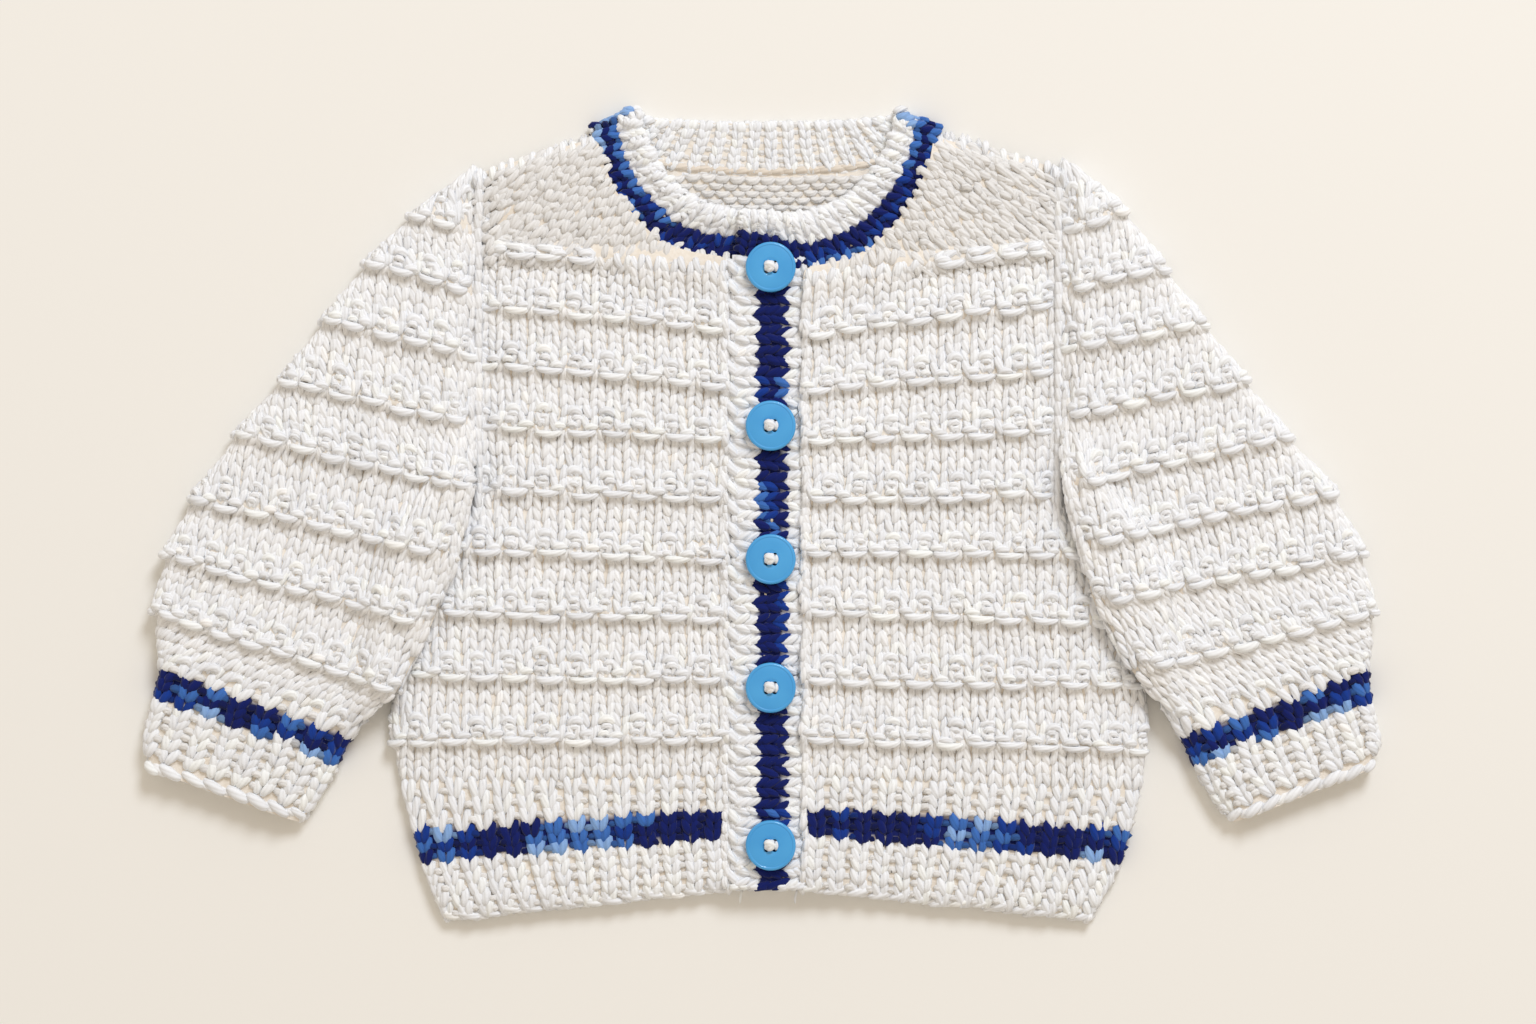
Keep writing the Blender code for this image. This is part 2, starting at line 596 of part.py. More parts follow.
def turned(maker, profile, sides, centre):
    """A solid of revolution about a vertical axis, closed by two flat caps."""
    rings = []
    for radius, height in profile:
        ring = []
        for side in range(sides):
            angle = 2.0 * math.pi * side / sides
            x = centre[0] + radius * math.cos(angle)
            y = centre[1] + radius * math.sin(angle)
            ring.append(maker.verts.new((x * MM, y * MM, (centre[2] + height) * MM)))
        rings.append(ring)
    for low, high in zip(rings[:-1], rings[1:]):
        for side in range(sides):
            after = (side + 1) % sides
            maker.faces.new((low[side], low[after], high[after], high[side]))
    maker.faces.new(tuple(reversed(rings[0])))
    maker.faces.new(tuple(rings[-1]))


def turned_object(name, profile, sides, centre, finish):
    """A turned solid as an object of its own."""
    maker = bmesh.new()
    turned(maker, profile, sides, centre)
    return add_object(name, maker, finish)


def hole_centres(y):
    """Plan positions of a button's four holes."""
    centres = []
    for hole in range(HOLE_COUNT):
        angle = 2.0 * math.pi * (hole + 0.5) / HOLE_COUNT
        centres.append((BUTTON_X + HOLE_PITCH_RADIUS * math.cos(angle),
                        y + HOLE_PITCH_RADIUS * math.sin(angle)))
    return centres


def combine(target, tool, operation):
    """Cut or join a tool into a target and remove the tool."""
    modifier = target.modifiers.new(operation.lower(), "BOOLEAN")
    modifier.operation = operation
    modifier.solver = "EXACT"
    modifier.object = tool
    bpy.context.view_layer.update()
    evaluated = target.evaluated_get(bpy.context.evaluated_depsgraph_get())
    mesh = bpy.data.meshes.new_from_object(evaluated)
    old = target.data
    target.modifiers.clear()
    target.data = mesh
    bpy.data.meshes.remove(old)
    bpy.data.objects.remove(tool)


def button(number, y, finish):
    """A dished button with four holes."""
    base = OVERLAP_BASE + KNIT + BUTTON_LIFT
    profile = [(turn.radius_share * BUTTON_RADIUS, turn.height_share * BUTTON_THICK)
               for turn in BUTTON_PROFILE]
    made = turned_object(f"button_{number}", profile, BUTTON_SIDES, (BUTTON_X, y, base), finish)
    drill_profile = ((HOLE_RADIUS, -BUTTON_THICK), (HOLE_RADIUS, 2.0 * BUTTON_THICK))
    for hole_x, hole_y in hole_centres(y):
        drill = turned_object("drill", drill_profile, DRILL_SIDES, (hole_x, hole_y, base), finish)
        combine(made, drill, "DIFFERENCE")
    made.data.shade_smooth()
    made.data.set_sharp_from_angle(angle=math.radians(40.0))
    return made


def button_thread(number, y, finish):
    """The sewing thread of a button: knot in the dish, four legs through the
    holes, a coil under the button and a shank through the buttonhole."""
    foot = OVERLAP_BASE
    plate = KNIT + GAP
    dish = KNIT + BUTTON_LIFT + BUTTON_PROFILE[-1].height_share * BUTTON_THICK
    shank_profile = ((SHANK_RADIUS, 0.0), (SHANK_RADIUS, plate),
                     (PLATE_RADIUS, plate), (PLATE_RADIUS, plate + PLATE_THICK))
    made = turned_object(f"button_thread_{number}", shank_profile, THREAD_SIDES,
                         (BUTTON_X, y, foot), finish)
    leg_profile = ((LEG_RADIUS, plate + LEG_SUNK), (LEG_RADIUS, dish + LEG_PROUD))
    for hole_x, hole_y in hole_centres(y):
        leg = turned_object("leg", leg_profile, LEG_SIDES, (hole_x, hole_y, foot), finish)
        combine(made, leg, "UNION")
    knot = turned_object("knot", KNOT_PROFILE, THREAD_SIDES, (BUTTON_X, y, foot + dish), finish)
    combine(made, knot, "UNION")
    return made


def build():
    """Remove what is there and make the whole cardigan."""
    for old in list(bpy.data.objects):
        bpy.data.objects.remove(old)
    wool = material("cream_wool", CREAM, 0.9)
    band_wool = material("striped_wool", NAVY, 0.9)
    plastic = material("blue_plastic", SKY, 0.25)
    thread = material("white_thread", WHITE, 0.6)
    back_panel(wool)
    front_panel("front_right", FRONT_RIGHT, 0.0, wool)
    front_panel("front_left", FRONT_LEFT, OVERLAP_BASE - FRONT_BASE, wool)
    sleeve("sleeve_right", SLEEVE_RIGHT, wool)
    sleeve("sleeve_left", SLEEVE_LEFT, wool)
    neckband(band_wool)
    band("button_band", FRONT_BASE, UNDER_TOP, BAND_LEFT_X - GAP, wool)
    over = band("buttonhole_band", OVERLAP_BASE, OVER_TOP, BAND_LEFT_X, band_wool)
    cut_buttonholes(over)
    for number, y in enumerate(BUTTON_YS, start=1):
        button(number, y, plastic)
        button_thread(number, y, thread)


build()
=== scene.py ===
"""The looks of a hand-knitted baby cardigan that lies flat, front up and buttoned.

Every panel is a thin shell of cloth with its stitches laid on it: each stitch is a
pair of yarn strands drawn along the panel's skin.  Tables are in millimetres, in
the frame's own axes: +X is the wearer's left, +Y points from hem to neck.
"""
from collections import namedtuple
import itertools
import math

import bmesh
import bpy
import numpy as np
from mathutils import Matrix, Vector


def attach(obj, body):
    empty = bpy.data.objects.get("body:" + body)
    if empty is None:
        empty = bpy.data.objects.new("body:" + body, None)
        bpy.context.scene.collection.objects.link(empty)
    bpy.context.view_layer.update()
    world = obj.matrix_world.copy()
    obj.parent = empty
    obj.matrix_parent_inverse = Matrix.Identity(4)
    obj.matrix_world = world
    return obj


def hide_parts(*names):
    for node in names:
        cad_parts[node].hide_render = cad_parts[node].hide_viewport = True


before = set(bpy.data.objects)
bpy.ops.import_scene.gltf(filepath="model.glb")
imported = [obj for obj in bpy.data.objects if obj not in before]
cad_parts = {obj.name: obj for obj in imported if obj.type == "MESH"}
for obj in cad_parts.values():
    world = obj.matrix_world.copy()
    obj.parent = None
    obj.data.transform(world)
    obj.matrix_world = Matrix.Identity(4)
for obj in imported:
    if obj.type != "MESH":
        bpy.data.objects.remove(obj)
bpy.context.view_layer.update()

MM = 0.001
DRAW = np.random.default_rng(7)        # the hand's unevenness, the same on each run

# --- Sizes of the garment, millimetres, as in the frame ------------------------
KNIT = 2.4                 # thickness of a knitted panel
GAP = 0.3                  # between two panels
TIER_RISE = 1.7            # how far a lip stands above the foot of its tier
PUFF = 0.8                 # how far a front rises away from the armhole
PUFF_REACH = 22.0          # and within which distance
FRONT_BASE = KNIT + GAP
OVERLAP_BASE = FRONT_BASE + KNIT + GAP
SLEEVE_LIFT = 7.7          # height of a sleeve's underside where it lies on the front
SLEEVE_RAMP = 9.0          # distance in which it comes down again
SLEEVE_LAID = 6.0          # thickness of a sleeve where it lies on the front
BAND_RIGHT_X = -9.9
BAND_LEFT_X = 12.9
BAND_TOP_Y = 78.0
BAND_LOW_Y = -112.0
BAND_COURSES = 7.6
BAND_LIFT_REACH = 11.0     # how far beside its band the left front is still raised
NECK_COURSES = 6.0         # courses across the neckband, from its free edge to its seam
BUTTON_X = 3.2
BUTTON_YS = (74.1, 26.7, -13.2, -51.6, -98.7)
BUTTON_RADIUS = 7.5
BUTTON_FOOT = OVERLAP_BASE + KNIT + 1.1

# --- The knitting ------------------------------------------------------------
COURSES = 6                # courses of knitting in one tier
FRONT_LAST = 48            # the last lip of a front and of the back
SLEEVE_LAST = 42           # and of a sleeve
ROW = 3.05                 # height of a course
COLUMN = 4.8               # width of a stitch on the body
SLEEVE_COLUMN = 4.4        # and on the sleeves
YARN = 1.18                # radius of the yarn in a stitch
SUNK = -0.95               # height of a strand's middle above the skin
SHELL_OUT = -0.95          # height of the cloth's outer face
SHELL_IN = -1.9            # and of its inner face

# Rows of a front: the course it lies on, the neck or band side and the outer side.
Row = namedtuple("Row", "course inner_x inner_y outer_x outer_y")
FRONT_RIGHT = (
    Row(-10.0, -48.9, 113.5, -84.6, 102.9),
    Row(-8.0, -47.4, 106.5, -84.6, 96.9),
    Row(-6.0, -43.5, 97.5, -84.6, 91.5),
    Row(-4.5, -37.2, 89.1, -84.6, 87.3),
    Row(-3.0, -29.4, 81.6, -84.6, 84.3),
    Row(-2.0, -19.5, 78.6, -84.6, 82.2),
    Row(-1.0, -10.2, 77.4, -84.6, 80.7),
    Row(0.0, -10.2, 74.1, -84.6, 78.3),
    Row(6.0, -10.2, 56.1, -84.6, 62.7),
    Row(12.0, -10.2, 38.4, -84.6, 45.9),
    Row(18.0, -10.2, 22.5, -84.6, 27.0),
    Row(24.0, -10.2, 5.1, -84.6, 7.5),
    Row(27.0, -10.2, -4.2, -94.2, -2.1),
    Row(30.0, -10.2, -13.5, -105.0, -9.9),
    Row(36.0, -10.2, -30.9, -110.4, -29.1),
    Row(42.0, -10.2, -49.5, -111.0, -48.0),
    Row(48.0, -10.2, -66.9, -111.0, -68.1),
    Row(51.7, -10.2, -78.3, -108.6, -79.5),
    Row(55.2, -10.2, -89.1, -104.4, -96.3),
    Row(58.2, -10.2, -98.1, -102.0, -105.3),
    Row(63.0, -10.2, -112.2, -95.4, -121.5),
)
FRONT_LEFT = (
    Row(-10.0, 52.2, 113.5, 89.7, 104.4),
    Row(-8.0, 51.0, 106.5, 89.7, 97.5),
    Row(-6.0, 47.1, 96.6, 89.7, 92.1),
    Row(-4.5, 40.5, 87.0, 89.7, 88.2),
    Row(-3.0, 32.4, 79.5, 89.7, 85.2),
    Row(-2.0, 23.4, 75.9, 89.7, 83.1),
    Row(-1.0, 13.8, 74.1, 89.7, 81.6),
    Row(0.0, 13.2, 71.4, 89.7, 79.2),
    Row(6.0, 13.2, 53.7, 89.7, 63.6),
    Row(12.0, 13.2, 37.2, 89.7, 43.5),
    Row(18.0, 13.2, 22.2, 89.7, 25.2),
    Row(24.0, 13.2, 4.8, 89.7, 6.0),
    Row(27.0, 13.2, -3.9, 99.3, -3.3),
    Row(30.0, 13.2, -11.1, 110.4, -12.3),
    Row(36.0, 13.2, -29.1, 115.8, -32.7),
    Row(42.0, 13.2, -49.5, 116.4, -51.3),
    Row(48.0, 13.2, -66.9, 116.7, -70.5),
    Row(51.7, 13.2, -78.3, 114.9, -82.5),
    Row(55.2, 13.2, -88.5, 111.3, -95.7),
    Row(58.2, 13.2, -96.9, 108.6, -105.3),
    Row(63.0, 13.2, -111.9, 99.9, -121.5),
)
# Sections of a sleeve, from the shoulder to the cuff: its fold at the outer side, its
# seam at the inner side, its height, and how high and how far in it lies on the front.
Section = namedtuple("Section", "course outer_x outer_y inner_x inner_y height lift reach")
SLEEVE_RIGHT = (
    Section(-3.0, -92.4, 98.7, -84.9, 102.3, 6.0, 0.0, 0.0),
    Section(0.0, -104.4, 90.0, -84.9, 84.9, 7.6, 0.0, 0.0),
    Section(6.0, -117.6, 75.9, -84.9, 66.9, 8.2, 0.0, 0.0),
    Section(12.0, -130.5, 58.5, -84.9, 47.7, 8.4, 0.0, 0.0),
    Section(18.0, -143.4, 40.5, -84.9, 27.0, 8.4, 0.0, 0.0),
    Section(24.0, -156.6, 24.3, -84.9, 8.4, 8.4, 7.7, 7.0),
    Section(30.0, -169.8, 5.1, -90.0, -12.3, 8.4, 7.7, 18.0),
    Section(36.0, -178.2, -12.0, -97.2, -33.0, 8.4, 7.7, 16.0),
    Section(42.0, -181.5, -28.5, -107.4, -53.1, 8.4, 7.7, 7.0),
    Section(45.0, -181.2, -37.5, -114.6, -58.5, 8.4, 5.0, 3.0),
    Section(48.0, -180.0, -47.1, -123.6, -68.1, 8.0, 0.0, 0.0),
    Section(51.0, -182.4, -55.5, -127.2, -76.5, 7.6, 0.0, 0.0),
    Section(54.5, -185.1, -67.5, -132.6, -85.5, 7.4, 0.0, 0.0),
    Section(57.0, -184.2, -75.9, -137.1, -92.7, 7.2, 0.0, 0.0),
)
SLEEVE_LEFT = (
    Section(-3.0, 98.4, 101.1, 90.0, 103.5, 6.0, 0.0, 0.0),
    Section(0.0, 109.5, 91.5, 90.0, 84.9, 7.6, 0.0, 0.0),
    Section(6.0, 121.5, 74.1, 90.0, 67.5, 8.2, 0.0, 0.0),
    Section(12.0, 133.5, 57.0, 90.0, 49.5, 8.4, 0.0, 0.0),
    Section(18.0, 145.5, 40.5, 90.0, 29.1, 8.4, 0.0, 0.0),
    Section(24.0, 159.0, 23.1, 90.0, 9.0, 8.4, 7.7, 7.0),
    Section(30.0, 172.5, 6.9, 94.2, -9.0, 8.4, 7.7, 17.0),
    Section(36.0, 180.6, -11.1, 99.0, -26.4, 8.4, 7.7, 20.0),
    Section(42.0, 184.2, -29.1, 110.4, -47.1, 8.4, 7.7, 9.0),
    Section(45.0, 183.6, -37.5, 118.8, -56.1, 8.4, 5.0, 3.0),
    Section(48.0, 182.4, -48.0, 127.2, -68.1, 8.0, 0.0, 0.0),
    Section(51.0, 183.9, -57.0, 130.8, -76.5, 7.6, 0.0, 0.0),
    Section(54.5, 186.3, -66.9, 136.2, -86.1, 7.4, 0.0, 0.0),
    Section(57.0, 183.9, -75.9, 141.6, -92.7, 7.2, 0.0, 0.0),
)
# Columns of a yoke: where each starts, above the first lip or at the armhole, and
# where it ends, at the shoulder or the neck.
Fan = namedtuple("Fan", "column start_x start_y end_x end_y")
YOKE_RIGHT = (
    Fan(0.0, -84.3, 98.5, -72.0, 106.3),
    Fan(1.4, -84.3, 91.5, -64.0, 108.7),
    Fan(2.8, -84.0, 84.5, -56.5, 111.0),
    Fan(4.2, -82.0, 78.0, -50.5, 112.6),
    Fan(6.4, -72.0, 77.6, -47.5, 107.0),
    Fan(9.0, -60.0, 77.0, -44.2, 99.0),
    Fan(11.2, -50.0, 76.4, -40.2, 93.2),
    Fan(13.0, -41.5, 76.0, -35.5, 88.0),
    Fan(15.0, -32.0, 75.4, -29.0, 82.7),
    Fan(17.2, -21.5, 74.8, -20.5, 79.6),
    Fan(19.6, -10.2, 74.1, -10.2, 78.0),
)
YOKE_LEFT = (
    Fan(0.0, 89.4, 99.5, 76.5, 107.5),
    Fan(1.4, 89.4, 92.5, 68.0, 109.8),
    Fan(2.8, 89.2, 85.5, 60.0, 111.8),
    Fan(4.2, 87.0, 79.0, 53.8, 112.8),
    Fan(6.4, 76.0, 78.0, 50.9, 106.0),
    Fan(9.0, 64.0, 76.6, 47.6, 98.0),
    Fan(11.2, 54.0, 75.6, 43.8, 91.8),
    Fan(13.0, 45.5, 74.6, 39.0, 86.0),
    Fan(15.0, 36.0, 73.8, 32.6, 80.6),
    Fan(17.2, 25.0, 72.7, 23.6, 76.8),
    Fan(19.6, 13.2, 71.6, 13.4, 74.8),
)
# Stations of the neckband: seam side, free edge and lift.
Station = namedtuple("Station", "seam_x seam_y edge_x edge_y lift")
NECK_FRONT_RIGHT = (
    Station(11.4, 77.7, 9.0, 90.3, 0.0),
    Station(1.5, 78.3, 1.8, 90.6, 0.0),
    Station(-9.9, 77.7, -5.4, 91.2, 0.0),
    Station(-19.5, 78.9, -9.6, 92.1, 0.0),
    Station(-29.1, 81.9, -15.0, 93.6, 0.0),
    Station(-36.9, 89.4, -21.0, 96.6, 0.0),
    Station(-43.2, 97.8, -27.6, 102.3, 0.0),
    Station(-47.1, 106.5, -32.4, 110.7, 0.0),
    Station(-48.6, 113.5, -35.4, 117.3, 0.0),
)
NECK_BACK = (
    Station(-44.1, 112.2, -32.4, 119.1, 0.0),
    Station(-36.3, 106.8, -26.4, 118.5, 0.0),
    Station(-20.7, 104.1, -16.5, 118.0, 0.0),
    Station(1.6, 103.2, 1.6, 117.8, 0.0),
    Station(24.0, 104.1, 19.8, 118.0, 0.0),
    Station(39.6, 106.8, 29.7, 118.5, 0.0),
    Station(47.4, 112.2, 36.0, 119.1, 0.0),
)
NECK_FRONT_LEFT = (
    Station(51.9, 113.5, 39.9, 117.3, 0.0),
    Station(50.7, 106.5, 37.2, 110.1, 0.0),
    Station(46.8, 96.9, 31.8, 101.7, 0.0),
    Station(40.2, 87.3, 25.5, 96.0, 0.0),
    Station(32.1, 79.8, 18.9, 92.7, 0.9),
    Station(23.1, 76.2, 13.8, 91.2, 1.8),
    Station(13.8, 74.6, 9.0, 90.6, 2.7),
    Station(3.0, 78.3, 1.8, 90.9, 2.7),
    Station(-6.9, 79.5, -5.4, 91.5, 2.7),
)
FOLD_RIGHT = Station(-48.9, 115.0, -35.4, 119.9, 0.0)
FOLD_LEFT = Station(52.2, 115.0, 39.9, 119.9, 0.0)


# --- Colours -----------------------------------------------------------------
def linear(red, green, blue):
    """A display colour, 0 to 255, as linear light."""
    shares = np.array((red, green, blue)) / 255.0
    return np.where(shares <= 0.04045, shares / 12.92, ((shares + 0.055) / 1.055) ** 2.4)


DYES_AND_SHADES = {
    "white": linear(243, 246, 251),
    # Painted shade on white yarn, for stitches that lie deep, in gaps, in the yoke and on the inside.
    "hollow": linear(243, 243, 243),
    "shaded": linear(233, 233, 233),
    "navy": linear(6, 25, 100),
    "royal": linear(14, 56, 145),
    "blue": linear(62, 112, 190),
    "sky": linear(138, 176, 228),
    "cream": linear(232, 218, 188),
    # Painted shade on the cloth behind the stitches: warmer just under a lip, lighter elsewhere.
    "recess": linear(231, 222, 210),
    "ground": linear(238, 232, 223),
    "thread": linear(244, 247, 252),
}
WHITE = DYES_AND_SHADES["white"]


def smooth(share):
    """Soft step from 0 to 1."""
    held = np.clip(share, 0.0, 1.0)
    return held * held * (3.0 - 2.0 * held)


# --- Skins: the panels' surfaces ---------------------------------------------
class Skin:
    """A surface with courses across it; along is the distance on a course."""

    def __init__(self, courses, points, normals, lengths):
        self.courses = np.asarray(courses, float)
        self.points = np.asarray(points, float)
        self.normals = np.asarray(normals, float)
        self.lengths = np.asarray(lengths, float)

    def length(self, course):
        """Length of a course."""
        return np.interp(course, self.courses, self.lengths)

    def at(self, along, course, height):
        """Points over the skin, and its normals there."""
        rows, columns = self.points.shape[:2]
        step = (self.courses[-1] - self.courses[0]) / (rows - 1)
        row = (np.asarray(course, float) - self.courses[0]) / step
        column = np.asarray(along, float) / self.length(course) * (columns - 1)
        r = np.clip(np.floor(row), 0, rows - 2).astype(int)
        c = np.clip(np.floor(column), 0, columns - 2).astype(int)
        down = (row - r)[..., None]
        across = (column - c)[..., None]
        found = []
        for grid in (self.points, self.normals):
            upper = grid[r, c] * (1.0 - across) + grid[r, c + 1] * across
            lower = grid[r + 1, c] * (1.0 - across) + grid[r + 1, c + 1] * across
            found.append(upper * (1.0 - down) + lower * down)
        normal = found[1] / np.linalg.norm(found[1], axis=-1, keepdims=True)
        return found[0] + normal * np.asarray(height, float)[..., None], normal


def walk(points):
    """The distance walked along a line at each of its points."""
    return np.concatenate(([0.0], np.cumsum(np.linalg.norm(np.diff(points, axis=0), axis=1))))


def read_at(wanted, walked, values):
    """Values in space, known where walked says, at the wanted distances."""
    return np.stack([np.interp(wanted, walked, values[:, i]) for i in range(3)], axis=1)


class Sections:
    """Lines across a panel, gathered one by one for its skin."""

    def __init__(self, count):
        self.count = count
        self.points, self.normals, self.lengths = [], [], []

    def add(self, line, facing):
        """Takes a line's points and normals, at even steps along it."""
        walked = walk(line)
        wanted = np.linspace(0.0, walked[-1], self.count)
        self.points.append(read_at(wanted, walked, line))
        self.normals.append(read_at(wanted, walked, facing))
        self.lengths.append(walked[-1])

    def skin(self, courses):
        """The skin that runs over all lines, one for each of the courses."""
        return Skin(courses, self.points, self.normals, self.lengths)


def section_line(start, across, profile):
    """Points and normals in space of a section given as (distance, height)."""
    flat = np.stack([start[0] + across[0] * profile[:, 0],
                     start[1] + across[1] * profile[:, 0], profile[:, 1]], axis=1)
    turn = np.gradient(profile, axis=0)
    turn /= np.linalg.norm(turn, axis=1, keepdims=True) + 1e-9
    normals = np.stack([-across[0] * turn[:, 1], -across[1] * turn[:, 1], turn[:, 0]], axis=1)
    return flat, normals


def column_of(table, name, courses):
    """A column of a table, read at any courses."""
    return np.interp(courses, [row.course for row in table], [getattr(row, name) for row in table])


def side_of(table, side, courses):
    """Where a panel's inner or outer side runs, at any courses."""
    return np.stack([column_of(table, side + axis, courses) for axis in ("_x", "_y")], 1)


SKIN_STEP = 0.25           # courses between the rows of a skin's grid
SKIN_POINTS = 120          # points on each of them


def skin_courses(table):
    """The courses at which a panel's skin has its lines."""
    return np.arange(table[0].course, table[-1].course + SKIN_STEP, SKIN_STEP)


UNDERARM = 26.0            # course where a front's side leaves the sleeve
LIP_FROM = 34.0            # the first lip fades out this far from the neck side
LIP_AT = -0.15             # courses from a lip to where the cloth starts to drop
STAND_OUT = 0.6            # how far the stitches make a lip higher than its solid
TIER_AT = (0.0, 0.5, 1.2, 2.5, 4.2, 6.0)           # courses below a lip's end
TIER_STANDS = (1.0, 0.0, 0.15, 0.45, 0.85, 1.0)    # and how far the cloth stands up there
YOKE_STANDS = 0.6          # how far it stands up above the first lip
HEM_STANDS = 0.35          # and below the last one
SIDE_RADIUS = 2.5          # of the rounding at a front's side
OPEN_LIP = 0.55            # share of a lip's rise at that side, below the arm
END_SAG = 1.3              # how far a front sinks at its first and last course
LINE_POINTS = 80           # points of a front's section before they are evened out
RIM = 2.55                 # width of the rounding at a sleeve's seam
RIM_TOP = 5.1              # and how high it stands


def tier_share(course, last):
    """How far the cloth stands up at a course: 0 under a lip, 1 at the next one."""
    stands = np.interp(np.mod(course + LIP_AT, COURSES), TIER_AT, TIER_STANDS)
    below = HEM_STANDS * smooth((course - last) / 4.0)
    stands = np.where(course > last + TIER_AT[1], below, stands)
    return np.where(course < -3.0, YOKE_STANDS, stands)


def front_skin(table, lift, crest=False):
    """A front's outer face.  A crest skin keeps the height of the lips all over."""
    courses = skin_courses(table)
    inner = side_of(table, "inner", courses)
    outer = side_of(table, "outer", courses)
    rises = np.ones(len(courses)) if crest else tier_share(courses, FRONT_LAST)
    radius = SIDE_RADIUS
    made = Sections(SKIN_POINTS)
    for course, start, end, rise in zip(courses, inner, outer, rises):
        width = np.linalg.norm(end - start)
        across = (end - start) / width
        along = np.linspace(0.0, width - radius, LINE_POINTS)
        from_outer = width - along
        ends = min(course - courses[0], courses[-1] - course)
        sag = END_SAG * (1.0 - smooth(ends / 1.2))
        height = FRONT_BASE + KNIT + PUFF * smooth(from_outer / PUFF_REACH) - sag
        open_side = smooth((course - UNDERARM) / 3.0)
        inland = smooth((from_outer - radius) / 5.0)
        fade = 1.0 - smooth((course - 0.5) / 4.0) if course > -1.0 else 0.0
        stands = rise + (1.0 - rise) * fade * smooth((LIP_FROM - along) / 8.0)
        share = inland + (OPEN_LIP - OPEN_LIP * inland) * open_side
        height = height + stands * (TIER_RISE + STAND_OUT) * share
        height = height - 0.5 * (1.0 - smooth((from_outer - radius) / 3.0))
        from_band = np.abs(start[0] + across[0] * along - BAND_LEFT_X)
        height = height + lift * np.exp(-from_band / BAND_LIFT_REACH)
        angles = np.linspace(0.5 * math.pi, -0.1, 12)[1:]
        reach = radius + 1.5 * (rise - 0.5) * open_side
        arc = np.stack([width - radius + reach * np.cos(angles),
                        height[-1] - radius + radius * np.sin(angles)], 1)
        profile = np.concatenate([np.stack([along, height], 1), arc])
        made.add(*section_line(start, across, profile))
    return made.skin(courses)


def sleeve_skin(table, crest=False):
    """A sleeve's outer face all round: inner edge, upper side, fold, underside."""
    courses = skin_courses(table)
    inner = side_of(table, "inner", courses)
    outer = side_of(table, "outer", courses)
    heights, lifts, reaches = (column_of(table, name, courses) for name in ("height", "lift", "reach"))
    rises = np.ones(len(courses)) if crest else tier_share(courses, SLEEVE_LAST)
    made = Sections(2 * SKIN_POINTS)
    for start, end, height, lift, reach, rise in zip(inner, outer, heights, lifts, reaches, rises):
        width = np.linalg.norm(end - start)
        across = (end - start) / width
        relief = rise * (TIER_RISE + STAND_OUT)
        fold = 0.5 * min(height, width)
        edge = min(RIM, 0.4 * width)

        def base(along):
            return lift * (1.0 - smooth((along - reach) / SLEEVE_RAMP))

        def top(along):
            under = base(along)
            full = height - (height - SLEEVE_LAID) * under / SLEEVE_LIFT
            swell = smooth(along / min(5.0, 0.5 * width))
            return under + RIM_TOP + (full - RIM_TOP) * swell + relief * smooth((along - edge) / 4.0)

        upper = np.linspace(edge, width - fold, 60)
        lower = upper[::-1]
        turn = np.linspace(0.5 * math.pi, -0.5 * math.pi, 17)[1:-1]
        middle = 0.5 * (top(width - fold) + base(width - fold))
        half = 0.5 * (top(width - fold) - base(width - fold))
        out = fold + 0.9 * (relief - 0.6)
        fold_line = np.stack([width - fold + out * np.cos(turn), middle + half * np.sin(turn)], 1)
        foot = base(edge)
        rim = top(edge) - foot

        def rim_line(turns):
            return np.stack([edge + edge * np.cos(turns), foot + 0.5 * rim * (1 + np.sin(turns))], 1)

        rim_up = rim_line(np.linspace(math.pi, 0.5 * math.pi, 8)[:-1])
        rim_down = rim_line(np.linspace(-0.5 * math.pi, -math.pi, 8)[1:])
        profile = np.concatenate([rim_up, np.stack([upper, top(upper)], 1), fold_line,
                                  np.stack([lower, base(lower)], 1), rim_down])
        made.add(*section_line(start, across, profile))
    return made.skin(courses)


def back_skin():
    """The back's outer face, which lies on the surface and turns up at both sides."""
    courses = skin_courses(FRONT_RIGHT)
    sides = np.stack([side_of(FRONT_RIGHT, "outer", courses), side_of(FRONT_RIGHT, "inner", courses),
                      side_of(FRONT_LEFT, "inner", courses), side_of(FRONT_LEFT, "outer", courses)], 1)
    radius = KNIT
    turn = np.linspace(0.05, -0.5 * math.pi, 9)
    made = Sections(2 * SKIN_POINTS)
    for rise, (xs, ys) in zip(tier_share(courses, FRONT_LAST), sides.transpose(0, 2, 1)):
        flat = np.linspace(xs[0] + radius, xs[-1] - radius, 160)
        level = 0.9 * (1.0 - rise) * smooth((flat - flat[0]) / 6.0) * smooth((flat[-1] - flat) / 6.0)
        right_x = flat[0] - radius * np.cos(turn)
        left_x = flat[-1] + radius * np.cos(turn[::-1])
        round_z = radius * (1.0 + np.sin(turn))
        line_x = np.concatenate([right_x[:-1], flat, left_x[1:]])
        line_z = np.concatenate([round_z[:-1], level, round_z[::-1][1:]])
        line = np.stack([line_x, np.interp(line_x, xs, ys), line_z], 1)
        slope = np.gradient(line[:, (0, 2)], axis=0)
        slope /= np.linalg.norm(slope, axis=1, keepdims=True)
        made.add(line, np.stack([slope[:, 1], np.zeros(len(line)), -slope[:, 0]], 1))
    return made.skin(courses)


class Space:
    """Open space: along, course and height are X, Y and Z."""

    @staticmethod
    def at(along, course, height):
        point = np.stack(np.broadcast_arrays(along, course, height), -1)
        return point, np.broadcast_to((0.0, 0.0, 1.0), point.shape)


SPACE = Space()
YOKE_RISE = 0.6            # share of a lip's rise that a yoke has


